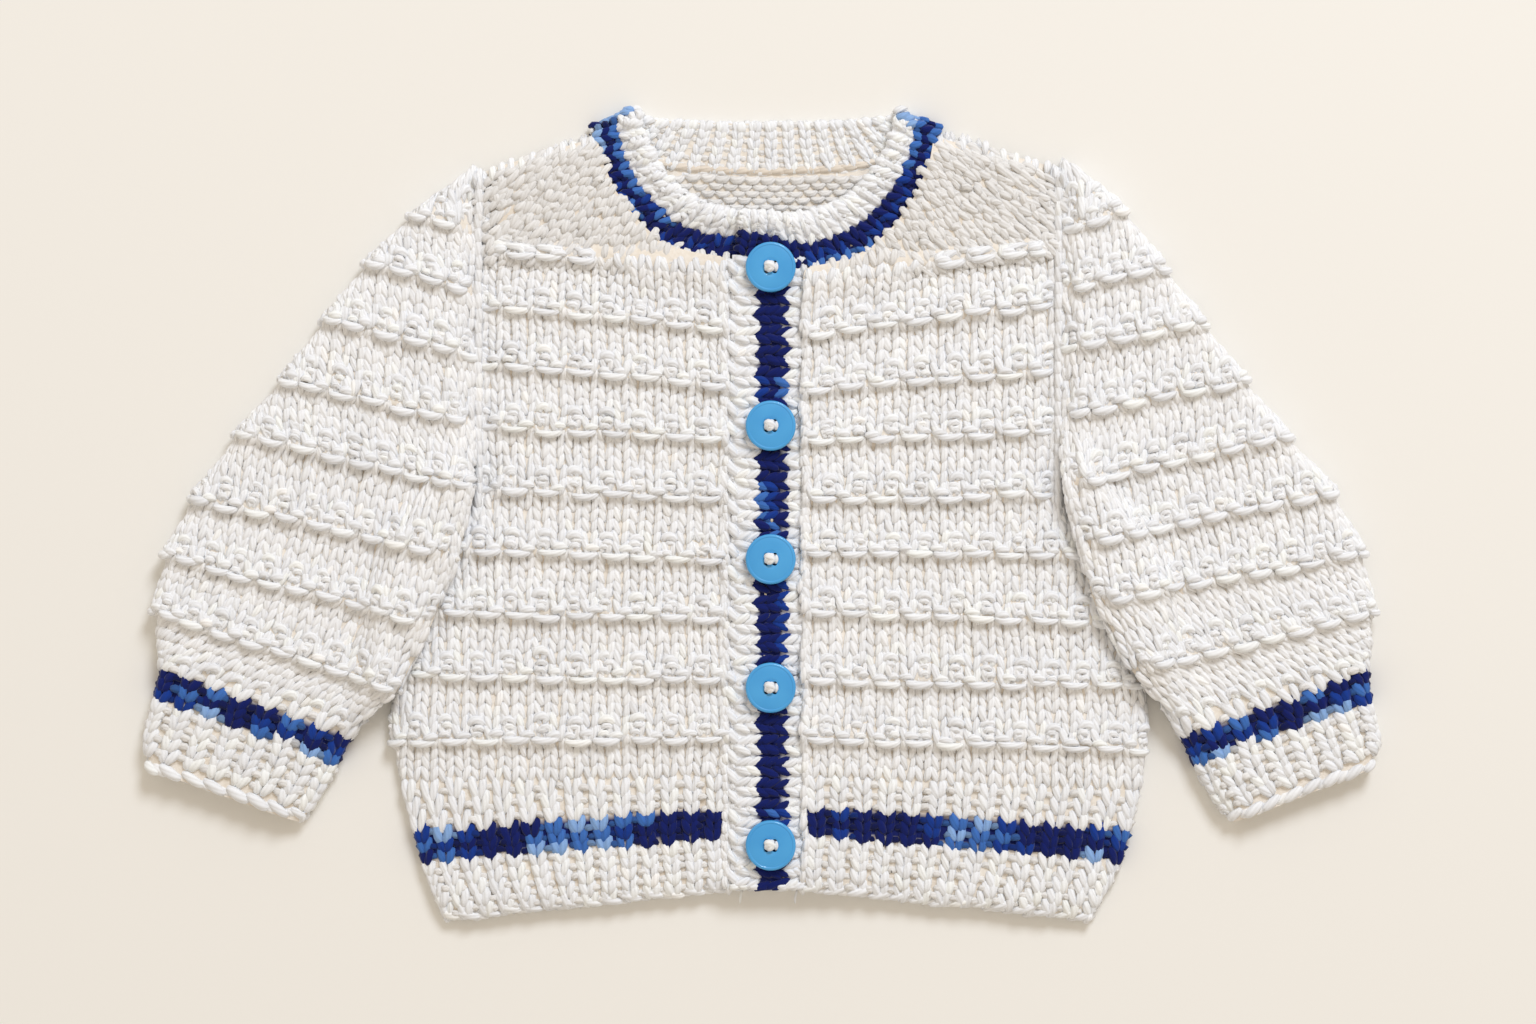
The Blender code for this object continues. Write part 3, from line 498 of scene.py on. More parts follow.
class FanSkin:
    """A yoke, whose columns fan out: along is a column's number, and courses count
    down from 0 at the column's start."""

    def __init__(self, fans, table, lift):
        self.numbers = np.array([fan.column for fan in fans])
        self.starts = np.array([(fan.start_x, fan.start_y) for fan in fans])
        self.ends = np.array([(fan.end_x, fan.end_y) for fan in fans])
        self.shoulder = table[0]
        self.lift = lift

    def plan(self, column):
        """Where columns start and end, seen from above."""
        starts = np.stack([np.interp(column, self.numbers, self.starts[:, i]) for i in (0, 1)], -1)
        ends = np.stack([np.interp(column, self.numbers, self.ends[:, i]) for i in (0, 1)], -1)
        return starts, ends

    def reach(self, column):
        """Courses in a column."""
        starts, ends = self.plan(column)
        return np.linalg.norm(ends - starts, axis=-1) / ROW

    def below_shoulder(self, plan):
        """How far a place lies below the shoulder seam."""
        first = self.shoulder
        share = (plan[..., 0] - first.outer_x) / (first.inner_x - first.outer_x)
        return first.outer_y + (first.inner_y - first.outer_y) * share - plan[..., 1]

    def at(self, along, course, height):
        starts, ends = self.plan(np.asarray(along, float))
        way = (ends - starts) / np.linalg.norm(ends - starts, axis=-1, keepdims=True)
        plan = starts - way * (np.asarray(course, float) * ROW)[..., None]
        from_outer = np.abs(plan[..., 0] - self.shoulder.outer_x)
        from_top = self.below_shoulder(plan)
        top = FRONT_BASE + KNIT + PUFF * smooth(from_outer / PUFF_REACH) + YOKE_RISE * TIER_RISE
        top = top - 1.2 * (1.0 - smooth(from_outer / 3.5)) - 2.0 * (1.0 - smooth(from_top / 3.5))
        top = top + self.lift * np.exp(-np.abs(plan[..., 0] - BAND_LEFT_X) / BAND_LIFT_REACH)
        side = math.copysign(1.0, self.shoulder.outer_x)
        lean = 0.7 * side * (1.0 - smooth(from_outer / 3.0))
        over = 0.9 * (1.0 - smooth(from_top / 3.0))
        normal = np.stack([lean, over, np.ones_like(lean)], -1)
        normal /= np.linalg.norm(normal, axis=-1, keepdims=True)
        point = np.concatenate([plan, top[..., None]], -1)
        return point + normal * np.asarray(height, float)[..., None], normal


def spline(values, count):
    """A smooth line through values, with count points between neighbours."""
    values = np.asarray(values, float)
    ends = np.concatenate([[2 * values[0] - values[1]], values, [2 * values[-1] - values[-2]]])
    share = (np.arange(count) / count)[:, None]
    runs = []
    for before, start, end, after in zip(ends[:-3], ends[1:-2], ends[2:-1], ends[3:]):
        runs.append(0.5 * (2 * start + (end - before) * share
                           + (2 * before - 5 * start + 4 * end - after) * share ** 2
                           + (3 * start - before - 3 * end + after) * share ** 3))
    return np.concatenate(runs + [values[-1:]])


def fold_stations(fold, turning):
    """Seam, edge, height, facing and roll of the stations round a shoulder fold, which
    turns the neckband face down (turning 1) or up again (-1)."""
    radius = 0.5 * (KNIT + GAP)
    line = np.array((fold.edge_x - fold.seam_x, fold.edge_y - fold.seam_y))
    line /= np.linalg.norm(line)
    away = np.array((-line[1], line[0]))
    away *= math.copysign(1.0, away[1])
    made = []
    for step in range(5):
        turn = step / 4 if turning > 0 else 1.0 - step / 4
        angle = math.pi * turn
        shift = away * math.sin(angle) * radius
        height = KNIT + 0.5 * GAP + radius * math.cos(angle)
        made.append((fold.seam_x + shift[0], fold.seam_y + shift[1], fold.edge_x + shift[0],
                     fold.edge_y + shift[1], height, *(away * math.sin(angle)),
                     math.cos(angle), 1.0 - turn))
    return made


def flat_stations(stations, height, facing, roll):
    """The same of stations where the neckband lies flat, face up (1) or down (-1)."""
    return [(s.seam_x, s.seam_y, s.edge_x, s.edge_y, height + s.lift, 0.0, 0.0, facing, roll)
            for s in stations]


def neck_line():
    """The neckband's stations one after another, as a smooth line of rows."""
    front = FRONT_BASE + 0.5 * KNIT
    rows = flat_stations(NECK_FRONT_RIGHT, front, 1.0, 1.0)
    rows += fold_stations(FOLD_RIGHT, 1)
    rows += flat_stations(NECK_BACK, 0.5 * KNIT, -1.0, 0.0)
    rows += fold_stations(FOLD_LEFT, -1)
    rows += flat_stations(NECK_FRONT_LEFT, front, 1.0, 1.0)
    return spline(rows, 6)


ROLL_PLUMP = 1.9           # how far the neckband's roll stands out
ROLL_TUCK = 2.2            # and how far it turns in at its free edge


def neck_skin(side):
    """The neckband's outer face (side 1) or inner face (side -1), from the free
    edge (course 0) to the seam."""
    rows = neck_line()
    seam = np.concatenate([rows[:, 0:2], rows[:, 4:5]], 1)
    edge = np.concatenate([rows[:, 2:4], rows[:, 4:5]], 1)
    facing = rows[:, 5:8] / np.linalg.norm(rows[:, 5:8], axis=1, keepdims=True)
    roll = np.clip(rows[:, 8], 0.0, 1.0)
    walked = walk(0.5 * (seam + edge))
    courses = np.linspace(-1.0, NECK_COURSES + 0.5, 31)
    points, normals = [], []
    wanted = np.linspace(0.0, walked[-1], 3 * SKIN_POINTS)
    for course in courses:
        share = course / NECK_COURSES
        line = edge + (seam - edge) * np.clip(share, -0.02, 1.1)
        bulge = ROLL_PLUMP * np.exp(-((share - 0.2) / 0.2) ** 2) - ROLL_TUCK * smooth(-share / 0.2)
        bulge = bulge if side > 0 else 0.0
        height = (0.5 * KNIT + bulge * roll)[:, None] if side > 0 else 0.5 * KNIT
        line = line + side * facing * height
        lean = (edge - seam) / np.linalg.norm(edge - seam, axis=1, keepdims=True)
        tilt = 1.6 * smooth((0.12 - share) / 0.2) - 0.5 * np.exp(-((share - 0.45) / 0.12) ** 2)
        normal = side * facing + lean * (tilt * roll)[:, None] * max(side, 0)
        points.append(read_at(wanted, walked, line))
        normals.append(read_at(wanted, walked, normal))
    return Skin(courses, points, normals, np.full(len(courses), walked[-1]))


def neck_turned():
    """From where to where, along the neckband, it lies with its inside up."""
    rows = neck_line()
    middle = np.concatenate([0.5 * (rows[:, 0:2] + rows[:, 2:4]), rows[:, 4:5]], 1)
    inside = walk(middle)[rows[:, 8] < 0.45]
    return inside[0], inside[-1]


def band_skin(base):
    """A front band, knitted sideways: courses run from its free edge at -X."""
    courses = np.linspace(0.0, BAND_COURSES, 31)
    points, normals = [], []
    length = BAND_TOP_Y - BAND_LOW_Y
    steps = np.linspace(0.0, 1.0, 160)
    for course in courses:
        share = course / BAND_COURSES
        x = BAND_RIGHT_X + (BAND_LEFT_X - BAND_RIGHT_X) * share
        y = BAND_TOP_Y - length * steps
        edge = 1.5 * (1.0 - smooth(course / 0.8)) + 0.4 * smooth((course - 6.8) / 0.8)
        z = np.full(len(y), base + KNIT + 0.2 - edge)
        lean = -0.9 * (1.0 - smooth(course / 0.9))
        points.append(np.stack([np.full(len(y), x), y, z], 1))
        normals.append(np.stack([np.full(len(y), lean), np.zeros(len(y)), np.ones(len(y))], 1))
    return Skin(courses, points, normals, np.full(len(courses), length))


# --- Strands of yarn ---------------------------------------------------------
Strand = namedtuple("Strand", "share ring cosine sine corners starts uv")


def strand_shape(sides, rings):
    """One strand: a ball whose rings are later drawn out along a path."""
    bpy.ops.object.select_all(action="DESELECT")
    bpy.ops.mesh.primitive_uv_sphere_add(segments=sides, ring_count=rings, radius=1.0)
    ball = bpy.context.object
    mesh = ball.data
    coords = np.array([vertex.co for vertex in mesh.vertices])
    level, ring = np.unique(np.round(0.5 - 0.5 * coords[:, 2], 5), return_inverse=True)
    share = 0.5 * (level + np.linspace(0.0, 1.0, len(level)))
    angle = np.arctan2(coords[:, 1], coords[:, 0])
    corners = np.array([loop.vertex_index for loop in mesh.loops])
    starts = np.array([polygon.loop_start for polygon in mesh.polygons])
    uv = np.array([entry.uv for entry in mesh.uv_layers.active.data])
    bpy.data.objects.remove(ball)
    bpy.data.meshes.remove(mesh)
    return Strand(share, ring, np.cos(angle), np.sin(angle), corners, starts, uv)


# Sides and rings of the strands, as few as their place allows.
FINE = strand_shape(6, 5)
LONG = strand_shape(8, 7)
KNOT = strand_shape(10, 8)
PLAIN = strand_shape(5, 4)
HIDDEN = strand_shape(4, 3)

# How a strand's girth runs along it, sin(pi * share ** skew) ** blunt, and how
# thick it is for its width.
Form = namedtuple("Form", "skew blunt thick")
DROP = Form(0.88, 0.34, 0.85)    # plump above, pointed at its foot, pulled flat
BALL = Form(1.0, 0.42, 0.95)     # the same all along, with round ends
TAIL = Form(0.92, 0.30, 0.95)    # full at its start, a little thinner at its end


def bezier(share):
    """Weights of a curve's four guide points at each share of its length."""
    s = share[:, None]
    return np.concatenate([(1 - s) ** 3, 3 * s * (1 - s) ** 2, 3 * s ** 2 * (1 - s), s ** 3], 1)


def paint_dyes_and_shades(mesh, colours):
    """Gives each vertex its colour, with any painted shade, which the wool's materials read."""
    layer = mesh.color_attributes.new(name="dye_and_shade", type="FLOAT_COLOR", domain="POINT")
    opaque = np.concatenate([colours, np.ones((len(colours), 1))], axis=1)
    layer.data.foreach_set("color", opaque.ravel())


def add_object(name, mesh, finish):
    """A mesh of the script's own as an object with its material."""
    mesh.materials.append(finish)
    made = bpy.data.objects.new(name, mesh)
    bpy.context.collection.objects.link(made)
    return made


PLY_LENGTH = 10.0          # length of strand for each unit of its UV map


class Yarn:
    """Strands that are joined into one mesh."""

    def __init__(self):
        self.vertices, self.corners, self.starts, self.uvs, self.dyes_and_shades = [], [], [], [], []
        self.count = 0
        self.loops = 0

    def lay(self, skin, paths, radius, dye_and_shade, shape=FINE, form=DROP):
        """Draws a strand along each path of four guide points on a skin."""
        paths = np.asarray(paths, float)
        number = len(paths)
        if number == 0:
            return
        local = np.einsum("rc,ncd->nrd", bezier(shape.share), paths)
        centres, normals = skin.at(local[..., 0], local[..., 1], local[..., 2])
        tangents = np.gradient(centres, axis=1)
        tangents /= np.linalg.norm(tangents, axis=-1, keepdims=True) + 1e-9
        sides = np.cross(tangents, normals)
        sides /= np.linalg.norm(sides, axis=-1, keepdims=True) + 1e-9
        ups = np.cross(sides, tangents)
        radius = np.broadcast_to(np.asarray(radius, float), (number,))
        girth = np.sin(math.pi * shape.share[shape.ring] ** form.skew).clip(0.0) ** form.blunt
        reach = radius[:, None] * girth[None, :]
        spread = sides[:, shape.ring] * (reach * shape.cosine)[..., None]
        spread = spread + ups[:, shape.ring] * (reach * form.thick * shape.sine)[..., None]
        vertices = centres[:, shape.ring] + spread
        length = np.linalg.norm(np.diff(centres, axis=1), axis=-1).sum(axis=1)
        size = len(shape.ring)
        offsets = self.count + size * np.arange(number)
        self.vertices.append(vertices.reshape(-1, 3))
        self.corners.append((offsets[:, None] + shape.corners[None, :]).ravel())
        loops = self.loops + len(shape.corners) * np.arange(number)
        self.starts.append((loops[:, None] + shape.starts[None, :]).ravel())
        uv = np.repeat(shape.uv[None], number, axis=0)
        uv[..., 1] = uv[..., 1] * (length / PLY_LENGTH)[:, None] + DRAW.random(number)[:, None]
        self.uvs.append(uv.reshape(-1, 2))
        dye_and_shade = np.broadcast_to(np.asarray(dye_and_shade, float), (number, 3))
        self.dyes_and_shades.append(np.repeat(dye_and_shade, size, axis=0))
        self.count += size * number
        self.loops += len(shape.corners) * number

    def piece(self, name, finish, floor=None):
        """The mesh of all strands; floor is the lowest height that it may have."""
        vertices = np.concatenate(self.vertices)
        if floor is not None:
            vertices[:, 2] = np.maximum(vertices[:, 2], floor)
        corners = np.concatenate(self.corners)
        starts = np.concatenate(self.starts)
        mesh = bpy.data.meshes.new(name)
        mesh.vertices.add(len(vertices))
        mesh.vertices.foreach_set("co", (vertices * MM).ravel())
        mesh.loops.add(len(corners))
        mesh.loops.foreach_set("vertex_index", corners)
        mesh.polygons.add(len(starts))
        mesh.polygons.foreach_set("loop_start", starts)
        mesh.update(calc_edges=True)
        layer = mesh.uv_layers.new(name="yarn")
        layer.data.foreach_set("uv", np.concatenate(self.uvs).ravel())
        paint_dyes_and_shades(mesh, np.concatenate(self.dyes_and_shades))
        mesh.shade_smooth()
        return add_object(name, mesh, finish)


# Guide points of the strands of a stitch: across in stitch widths, down in courses,
# and up in millimetres.
LEG = np.array(((0.35, -0.86, -0.55), (0.38, -0.30, 0.35), (0.23, 0.30, 0.55), (0.10, 0.95, 0.0)))
BUMP = np.array(((-0.42, 0.38, -0.7), (-0.36, -0.52, 0.3), (0.36, -0.52, 0.3), (0.42, 0.38, -0.7)))
RIB_LEG = np.array(((0.30, -0.88, -0.6), (0.34, -0.28, 0.4), (0.21, 0.30, 0.65), (0.06, 1.0, 0.15)))
BAND_LEG = np.array(((0.45, -0.88, -0.7), (0.41, -0.30, 0.4), (0.25, 0.30, 0.7), (0.06, 1.05, 0.25)))
BEAD = np.array(((-0.18, 0.16, -0.3), (-0.10, -0.22, 0.3), (0.10, -0.22, 0.3), (0.18, 0.16, -0.3)))
LIP_BAR = np.array(((-0.14, -0.18, 0.3), (0.06, 0.24, 0.8), (0.44, 0.30, 0.8), (0.74, -0.08, 0.3)))
LIP_KNOT = np.array(((-0.24, -0.44, 0.1), (-0.12, -0.74, 0.9), (0.10, -0.68, 0.9), (0.24, -0.36, 0.4)))
EDGE_LEG = np.array(((0.10, -0.85, -0.3), (0.06, -0.28, 0.4), (-0.06, 0.30, 0.4), (-0.12, 0.90, -0.3)))
CAST_ON = np.array(((-0.62, 0.38, -0.4), (-0.25, 0.30, 0.5), (0.25, -0.18, 0.5), (0.62, -0.30, -0.4)))
EDGE_LOOP = np.array(((0.20, 1.4, -0.6), (0.24, 0.7, 0.7), (0.26, 0.1, 0.8), (0.25, -0.7, -0.9)))
CHAIN = np.array(((-0.40, -0.45, -0.3), (-0.20, -0.40, 0.9), (0.14, 0.20, 0.9), (0.42, 0.60, -0.2)))
FOOT = np.array(((-0.08, -0.62, -0.3), (0.06, -0.25, 0.6), (0.06, 0.25, 0.6), (-0.08, 0.62, -0.3)))
FLECK = np.array(((-0.8, -0.1, 0.3), (-0.3, 0.1, 0.6), (0.3, -0.1, 0.6), (0.8, 0.1, 0.3)))
FLECK_RADIUS = 0.42
# Guide points of single strands, in millimetres: across, up the garment, and in height.
ROLL = np.array(((-3.2, 0.0, 0.0), (-1.2, 0.0, 0.0), (1.2, 0.0, 0.0), (3.2, 0.0, 0.0)))
SELVEDGE = np.array(((0.3, 2.0, -0.3), (-0.5, 0.7, 0.7), (-0.5, -0.7, 0.7), (0.3, -2.0, -0.3)))
WELT = np.array(((0.0, 3.4, 0.0), (0.0, 1.2, 0.0), (0.0, -1.2, 0.0), (0.0, -3.4, 0.0)))
OVERCAST = np.array(((0.0, -3.4, 5.2), (0.2, -0.8, 5.6), (0.4, 0.9, 4.0), (0.3, 0.6, 1.4)))
YARN_END = np.array(((0.0, 0.0, 0.0), (-0.2, -1.4, 0.2), (-0.8, -2.8, -0.8), (-0.5, -4.6, -1.6)))


def unevenness(number, amount):
    """Small shifts of guide points, the same for all points of a strand but for
    a little bend."""
    whole = DRAW.normal(0.0, 1.0, (number, 1, 3))
    bend = DRAW.normal(0.0, 0.5, (number, 4, 3))
    return (whole + bend) * np.asarray(amount)


def drift(along, course):
    """How far the hand lets columns and rows wander, in stitch widths and courses."""
    across = np.sin(0.9 * course + along / 17.0) + 0.7 * np.sin(0.37 * course - along / 9.0)
    down = 0.09 * np.sin(along / 13.0 + 1.3 * course) + 0.06 * np.sin(along / 5.3 - 0.8 * course)
    return across, down


def place(guides, along, course, width, uneven):
    """Copies of guide points at each (along, course), a stitch width apart."""
    along = np.atleast_1d(np.asarray(along, float))
    course = np.broadcast_to(np.asarray(course, float), along.shape)
    width = np.broadcast_to(np.asarray(width, float), along.shape)
    across, down = drift(along, course)
    along = along + 0.06 * across * width
    course = course + down
    paths = np.repeat(guides[None], len(along), axis=0)
    paths = paths + unevenness(len(along), (0.035 * uneven, 0.06 * uneven, 0.14 * uneven))
    paths[..., 0] = along[:, None] + paths[..., 0] * width[:, None]
    paths[..., 1] = course[:, None] + paths[..., 1]
    paths[..., 2] = paths[..., 2] + SUNK
    return paths


def place_level(guides, x, y, height, width, uneven):
    """The same at each (x, y) on a level of open space, with rows running downwards."""
    paths = place(guides, x, -y / ROW, width, uneven)
    paths[..., 1] *= -ROW
    paths[..., 2] += height
    return paths


GIRTH_SPREAD = 0.07        # how much strands differ in thickness
DYE_SPREAD = 0.03          # and in lightness
LIGHTEST = 0.97


def shade(dye_and_shade, number):
    """A colour whose lightness differs a little from strand to strand, at random."""
    light = 1.0 + DYE_SPREAD * DRAW.normal(size=(number, 1))
    return np.clip(np.broadcast_to(dye_and_shade, (number, 3)) * light, 0.0, LIGHTEST)


def strands(yarn, skin, guides, along, course, width, dye_and_shade, radius, shape=FINE, uneven=1.0,
            deeper=0.0, form=BALL):
    """One strand at each place, such as a purl bump or a bar."""
    paths = place(guides, along, course, width, uneven)
    paths[..., 2] -= np.broadcast_to(deeper, (len(paths),))[:, None]
    size = radius * (1.0 + GIRTH_SPREAD * DRAW.normal(size=len(paths)))
    yarn.lay(skin, paths, size, shade(dye_and_shade, len(paths)), shape, form)


def knit(yarn, skin, along, course, width, dye_and_shade, radius=YARN, shape=FINE, uneven=1.0, deeper=0.0,
         guides=LEG):
    """Knit stitches: each has a left and a right leg that meet at its foot."""
    for side in (-1.0, 1.0):
        strands(yarn, skin, guides * (side, 1.0, 1.0), along, course, width, dye_and_shade, radius, shape,
                uneven, deeper, DROP)


def hollow_dye(share):
    """White yarn with painted shade, warmer the deeper it lies: 0 is the deepest and 1 lies on top."""
    return DYES_AND_SHADES["hollow"] * (1.0 - share) + WHITE * share


# --- Tiered knitting ---------------------------------------------------------
# What a panel's tiers are knitted with and on: the crest skin carries the lips, and
# heavy says how thick these are.
Tier = namedtuple("Tier", "yarn skin crest column shape lip_shape heavy")
# How far beside its column and below its course each bump of a pair lies.
BUMPS_BY = ((-0.1, -0.25), (0.08, 0.38))


def plain_row(tier, along, course):
    """Plain stitches, with painted shade that is warmer the nearer they lie to the lip above them."""
    dye_and_shade = hollow_dye(0.25 * (course % COURSES))
    knit(tier.yarn, tier.skin, along, course, tier.column, dye_and_shade, YARN * 1.06, tier.shape)


def arch_row(tier, ribs, purls, course):
    """Knit stitches, with an arch of yarn over every second column."""
    knit(tier.yarn, tier.skin, ribs, course, tier.column * 1.05, WHITE, YARN * 1.04, tier.shape)
    knit(tier.yarn, tier.skin, purls, course - 0.35, tier.column, WHITE, YARN, tier.shape, deeper=0.2)
    strands(tier.yarn, tier.skin, BUMP * (1.1, 1.0, 1.0), purls, course + 0.1, tier.column, WHITE,
            YARN * 1.12, tier.lip_shape, deeper=-0.4, uneven=1.6)


def bump_row(tier, ribs, purls, course):
    """Knit stitches, with a pair of purl bumps under each arch; the stitches and bumps under the
    arches carry painted shade.
    """
    knit(tier.yarn, tier.skin, ribs, course, tier.column * 1.05, WHITE, YARN * 1.03, tier.shape,
         deeper=-0.1)
    if tier.shape is FINE:
        knit(tier.yarn, tier.skin, purls, course, tier.column, hollow_dye(0.4), YARN * 1.04, PLAIN,
             deeper=0.45)
    for beside, below in BUMPS_BY:
        strands(tier.yarn, tier.skin, BUMP * (0.8, 0.65, 1.0), purls + beside * tier.column,
                course + below, tier.column, hollow_dye(0.8), YARN * 0.95, tier.shape, deeper=-0.3,
                uneven=1.8)


def lip_row(tier, along, ribs, course):
    """A lip: knots and slanting bars on the crest, over a hidden row of stitches in painted shade."""
    if tier.shape is FINE:
        knit(tier.yarn, tier.skin, along, course + 0.25, tier.column, hollow_dye(0.0), YARN, PLAIN,
             deeper=0.35)
        knit(tier.yarn, tier.crest, ribs, course - 0.75, tier.column * 0.85, WHITE, YARN)
    for guides, radius, form in ((LIP_KNOT, YARN, BALL), (LIP_BAR, YARN * 0.96, TAIL)):
        strands(tier.yarn, tier.crest, guides, ribs, course, 2 * tier.column, WHITE,
                radius * tier.heavy, tier.lip_shape, uneven=1.4, form=form)


def tiers(yarn, skin, crest, courses, columns_at, column, shape=FINE, heavy=1.0, shown=None,
          lip_from=0.0):
    """Stockinette with a lip of bars at every sixth course.  columns_at gives the
    places along a course, with each column's number; shown keeps only some.  The
    first lip begins lip_from millimetres along its course."""
    tier = Tier(yarn, skin, crest, column, shape, LONG if shape is FINE else shape, heavy)
    for course in courses:
        along, numbers = columns_at(course)
        if shown is not None:
            keep = shown(along, course)
            along, numbers = along[keep], numbers[keep]
        if len(along) == 0:
            continue
        row = course % COURSES
        ribs, purls = along[numbers % 2 == 0], along[numbers % 2 == 1]
        if row in (1, 2, 3):
            plain_row(tier, along, course)
        elif row == 4:
            arch_row(tier, ribs, purls, course)
        elif row == 5:
            bump_row(tier, ribs, purls, course)
        else:
            if course == 0:
                plain = along[along <= lip_from]
                knit(yarn, skin, plain, course, column, WHITE, shape=shape, uneven=1.8)
                ribs = ribs[ribs > lip_from]
            lip_row(tier, along, ribs, course)


EDGE_STEP = 0.9            # courses between a side's edge stitches


def edge_legs(yarn, skin, courses, inset, far=False):
    """Edge stitches in painted shade down a panel's inner side, or its far one, inset millimetres."""
    course = np.arange(*courses, EDGE_STEP)
    along = skin.length(course) - inset if far else np.full(len(course), inset)
    strands(yarn, skin, EDGE_LEG, along, course, COLUMN, hollow_dye(0.6), YARN * 1.08, uneven=2.0)


# --- Ribbing -----------------------------------------------------------------
# A rib's first course, its number of rows, the striped ones, and its cast-on course.
Rib = namedtuple("Rib", "first rows striped cast_on")
HEM = Rib(52.3, 11, (3, 4, 5), 62.7)
CUFF = Rib(47.0, 9, (1, 2, 3), 56.4)
HEM_RIBS = 14
BACK_RIBS = 2 * HEM_RIBS + 3
CUFF_RIBS = 16             # all round
GAP_SHADE = 0.6            # painted shade: how dark a stripe is in the gaps between its ribs

Stripe = namedtuple("Stripe", "until upper middle lower")
# Dyes of the three striped courses, each as far as a distance along them, from the
# inner end of the row outwards.
HEM_RIGHT_CHART = (
    Stripe(21, "navy", "navy", "navy"),
    Stripe(28, "blue", "navy", "navy"),
    Stripe(35, "blue", "royal", "blue"),
    Stripe(42, "sky", "blue", "sky"),
    Stripe(50, "sky", "blue", "blue"),
    Stripe(58, "blue", "blue", "sky"),
    Stripe(74, "navy", "navy", "navy"),
    Stripe(82, "royal", "navy", "royal"),
    Stripe(90, "sky", "royal", "blue"),
    Stripe(99, "royal", "blue", "navy"),
    Stripe(130, "navy", "royal", "navy"),
)
HEM_LEFT_CHART = (
    Stripe(9, "navy", "navy", "navy"),
    Stripe(17, "royal", "navy", "royal"),
    Stripe(34, "navy", "navy", "navy"),
    Stripe(42, "royal", "royal", "navy"),
    Stripe(51, "blue", "sky", "blue"),
    Stripe(59, "sky", "blue", "blue"),
    Stripe(67, "royal", "blue", "royal"),
    Stripe(83, "navy", "navy", "navy"),
    Stripe(91, "royal", "navy", "sky"),
    Stripe(130, "blue", "royal", "navy"),
)
CUFF_CHART = (
    Stripe(8, "navy", "royal", "blue"),
    Stripe(15, "royal", "navy", "sky"),
    Stripe(23, "blue", "royal", "white"),
    Stripe(30, "navy", "royal", "blue"),
    Stripe(37, "navy", "navy", "navy"),
    Stripe(45, "blue", "navy", "sky"),
    Stripe(52, "navy", "royal", "sky"),
    Stripe(60, "navy", "blue", "royal"),
    Stripe(78, "navy", "navy", "royal"),
    Stripe(95, "royal", "navy", "navy"),
    Stripe(150, "navy", "royal", "navy"),
)


def stripe_dyes(chart, along, row):
    """Dyes of one striped course, by where each stitch lies."""
    names = []
    for place_along in along:
        stripe = next(s for s in chart if place_along <= s.until or s is chart[-1])
        names.append((stripe.upper, stripe.middle, stripe.lower)[row])
    return np.array([DYES_AND_SHADES[name] for name in names])


def ribbing(yarn, skin, rib, chart, ribs, scale, shape=FINE):
    """Knit and purl columns down to the cast-on edge, with painted shade on the purl columns."""
    for row in range(rib.rows):
        course = rib.first + row
        width = float(skin.length(course)) / ribs
        along = (np.arange(ribs) + 0.5) * width
        between = along + 0.5 * width
        if row in rib.striped:
            dye_and_shade = stripe_dyes(chart, along, rib.striped.index(row))
            gap_dye_and_shade = stripe_dyes(chart, between, rib.striped.index(row)) * GAP_SHADE
        else:
            dye_and_shade = WHITE
            gap_dye_and_shade = DYES_AND_SHADES["shaded"]
        strands(yarn, skin, BEAD * (1.05, 1.2, 1.0), between, course + 0.2, width, gap_dye_and_shade,
                YARN * scale, shape, deeper=-0.1, uneven=2.0)
        knit(yarn, skin, along, course, width * 0.78, dye_and_shade, YARN * 1.2 * scale, shape, uneven=0.8,
             guides=RIB_LEG)


def cast_on(yarn, skin, course, ribs, scale):
    """The rope of slanting strands along a knitted edge, with painted shade on the deeper ones."""
    width = float(skin.length(course)) / ribs
    along = (np.arange(ribs) + 0.5) * width
    strands(yarn, skin, CAST_ON, along, course, width, WHITE, YARN * 1.12 * scale, LONG)
    strands(yarn, skin, CAST_ON * (0.8, 1.0, 1.0), along + 0.5 * width, course + 0.1, width,
            hollow_dye(0.5), YARN * 0.95 * scale, FINE, deeper=0.9)


def flecks(yarn, skin, number, alongs, courses):
    """Cream specks of the ground yarn that show through a stripe."""
    along = DRAW.uniform(*alongs, number)
    course = DRAW.uniform(*courses, number)
    strands(yarn, skin, FLECK, along, course, 1.0, DYES_AND_SHADES["cream"], FLECK_RADIUS)


# --- Shells of cloth ---------------------------------------------------------
def recess(course):
    """The colour of the cloth behind the stitches: painted shade, warmer just under a lip."""
    share = smooth((np.mod(course + LIP_AT, COURSES) - 0.3) / 2.2)[..., None]
    return DYES_AND_SHADES["recess"] * (1.0 - share) + DYES_AND_SHADES["ground"] * share


# Courses between which the cloth is dark, behind the stripes.
HEM_DARK = (54.7, 57.6)
BACK_DARK = (54.3, 57.9)
CUFF_DARK = (47.4, 50.3)
NECK_DARK = (3.3, 7.0)
BAND_DARK = (2.9, 5.7)
DARK_EDGE = 0.2            # courses in which it turns dark


def striped(dark, around=None):
    """Dark between two courses, and elsewhere the cloth's painted shade or one colour."""
    def paint(course):
        inside = smooth((course - dark[0]) / DARK_EDGE) * smooth((dark[1] - course) / DARK_EDGE)
        inside = inside[..., None]
        rest = recess(course) if around is None else around
        return rest * (1.0 - inside) + DYES_AND_SHADES["navy"] * inside
    return paint


def select_only(thing):
    """Makes a piece the one that the operators act on."""
    bpy.ops.object.select_all(action="DESELECT")
    thing.select_set(True)
    bpy.context.view_layer.objects.active = thing


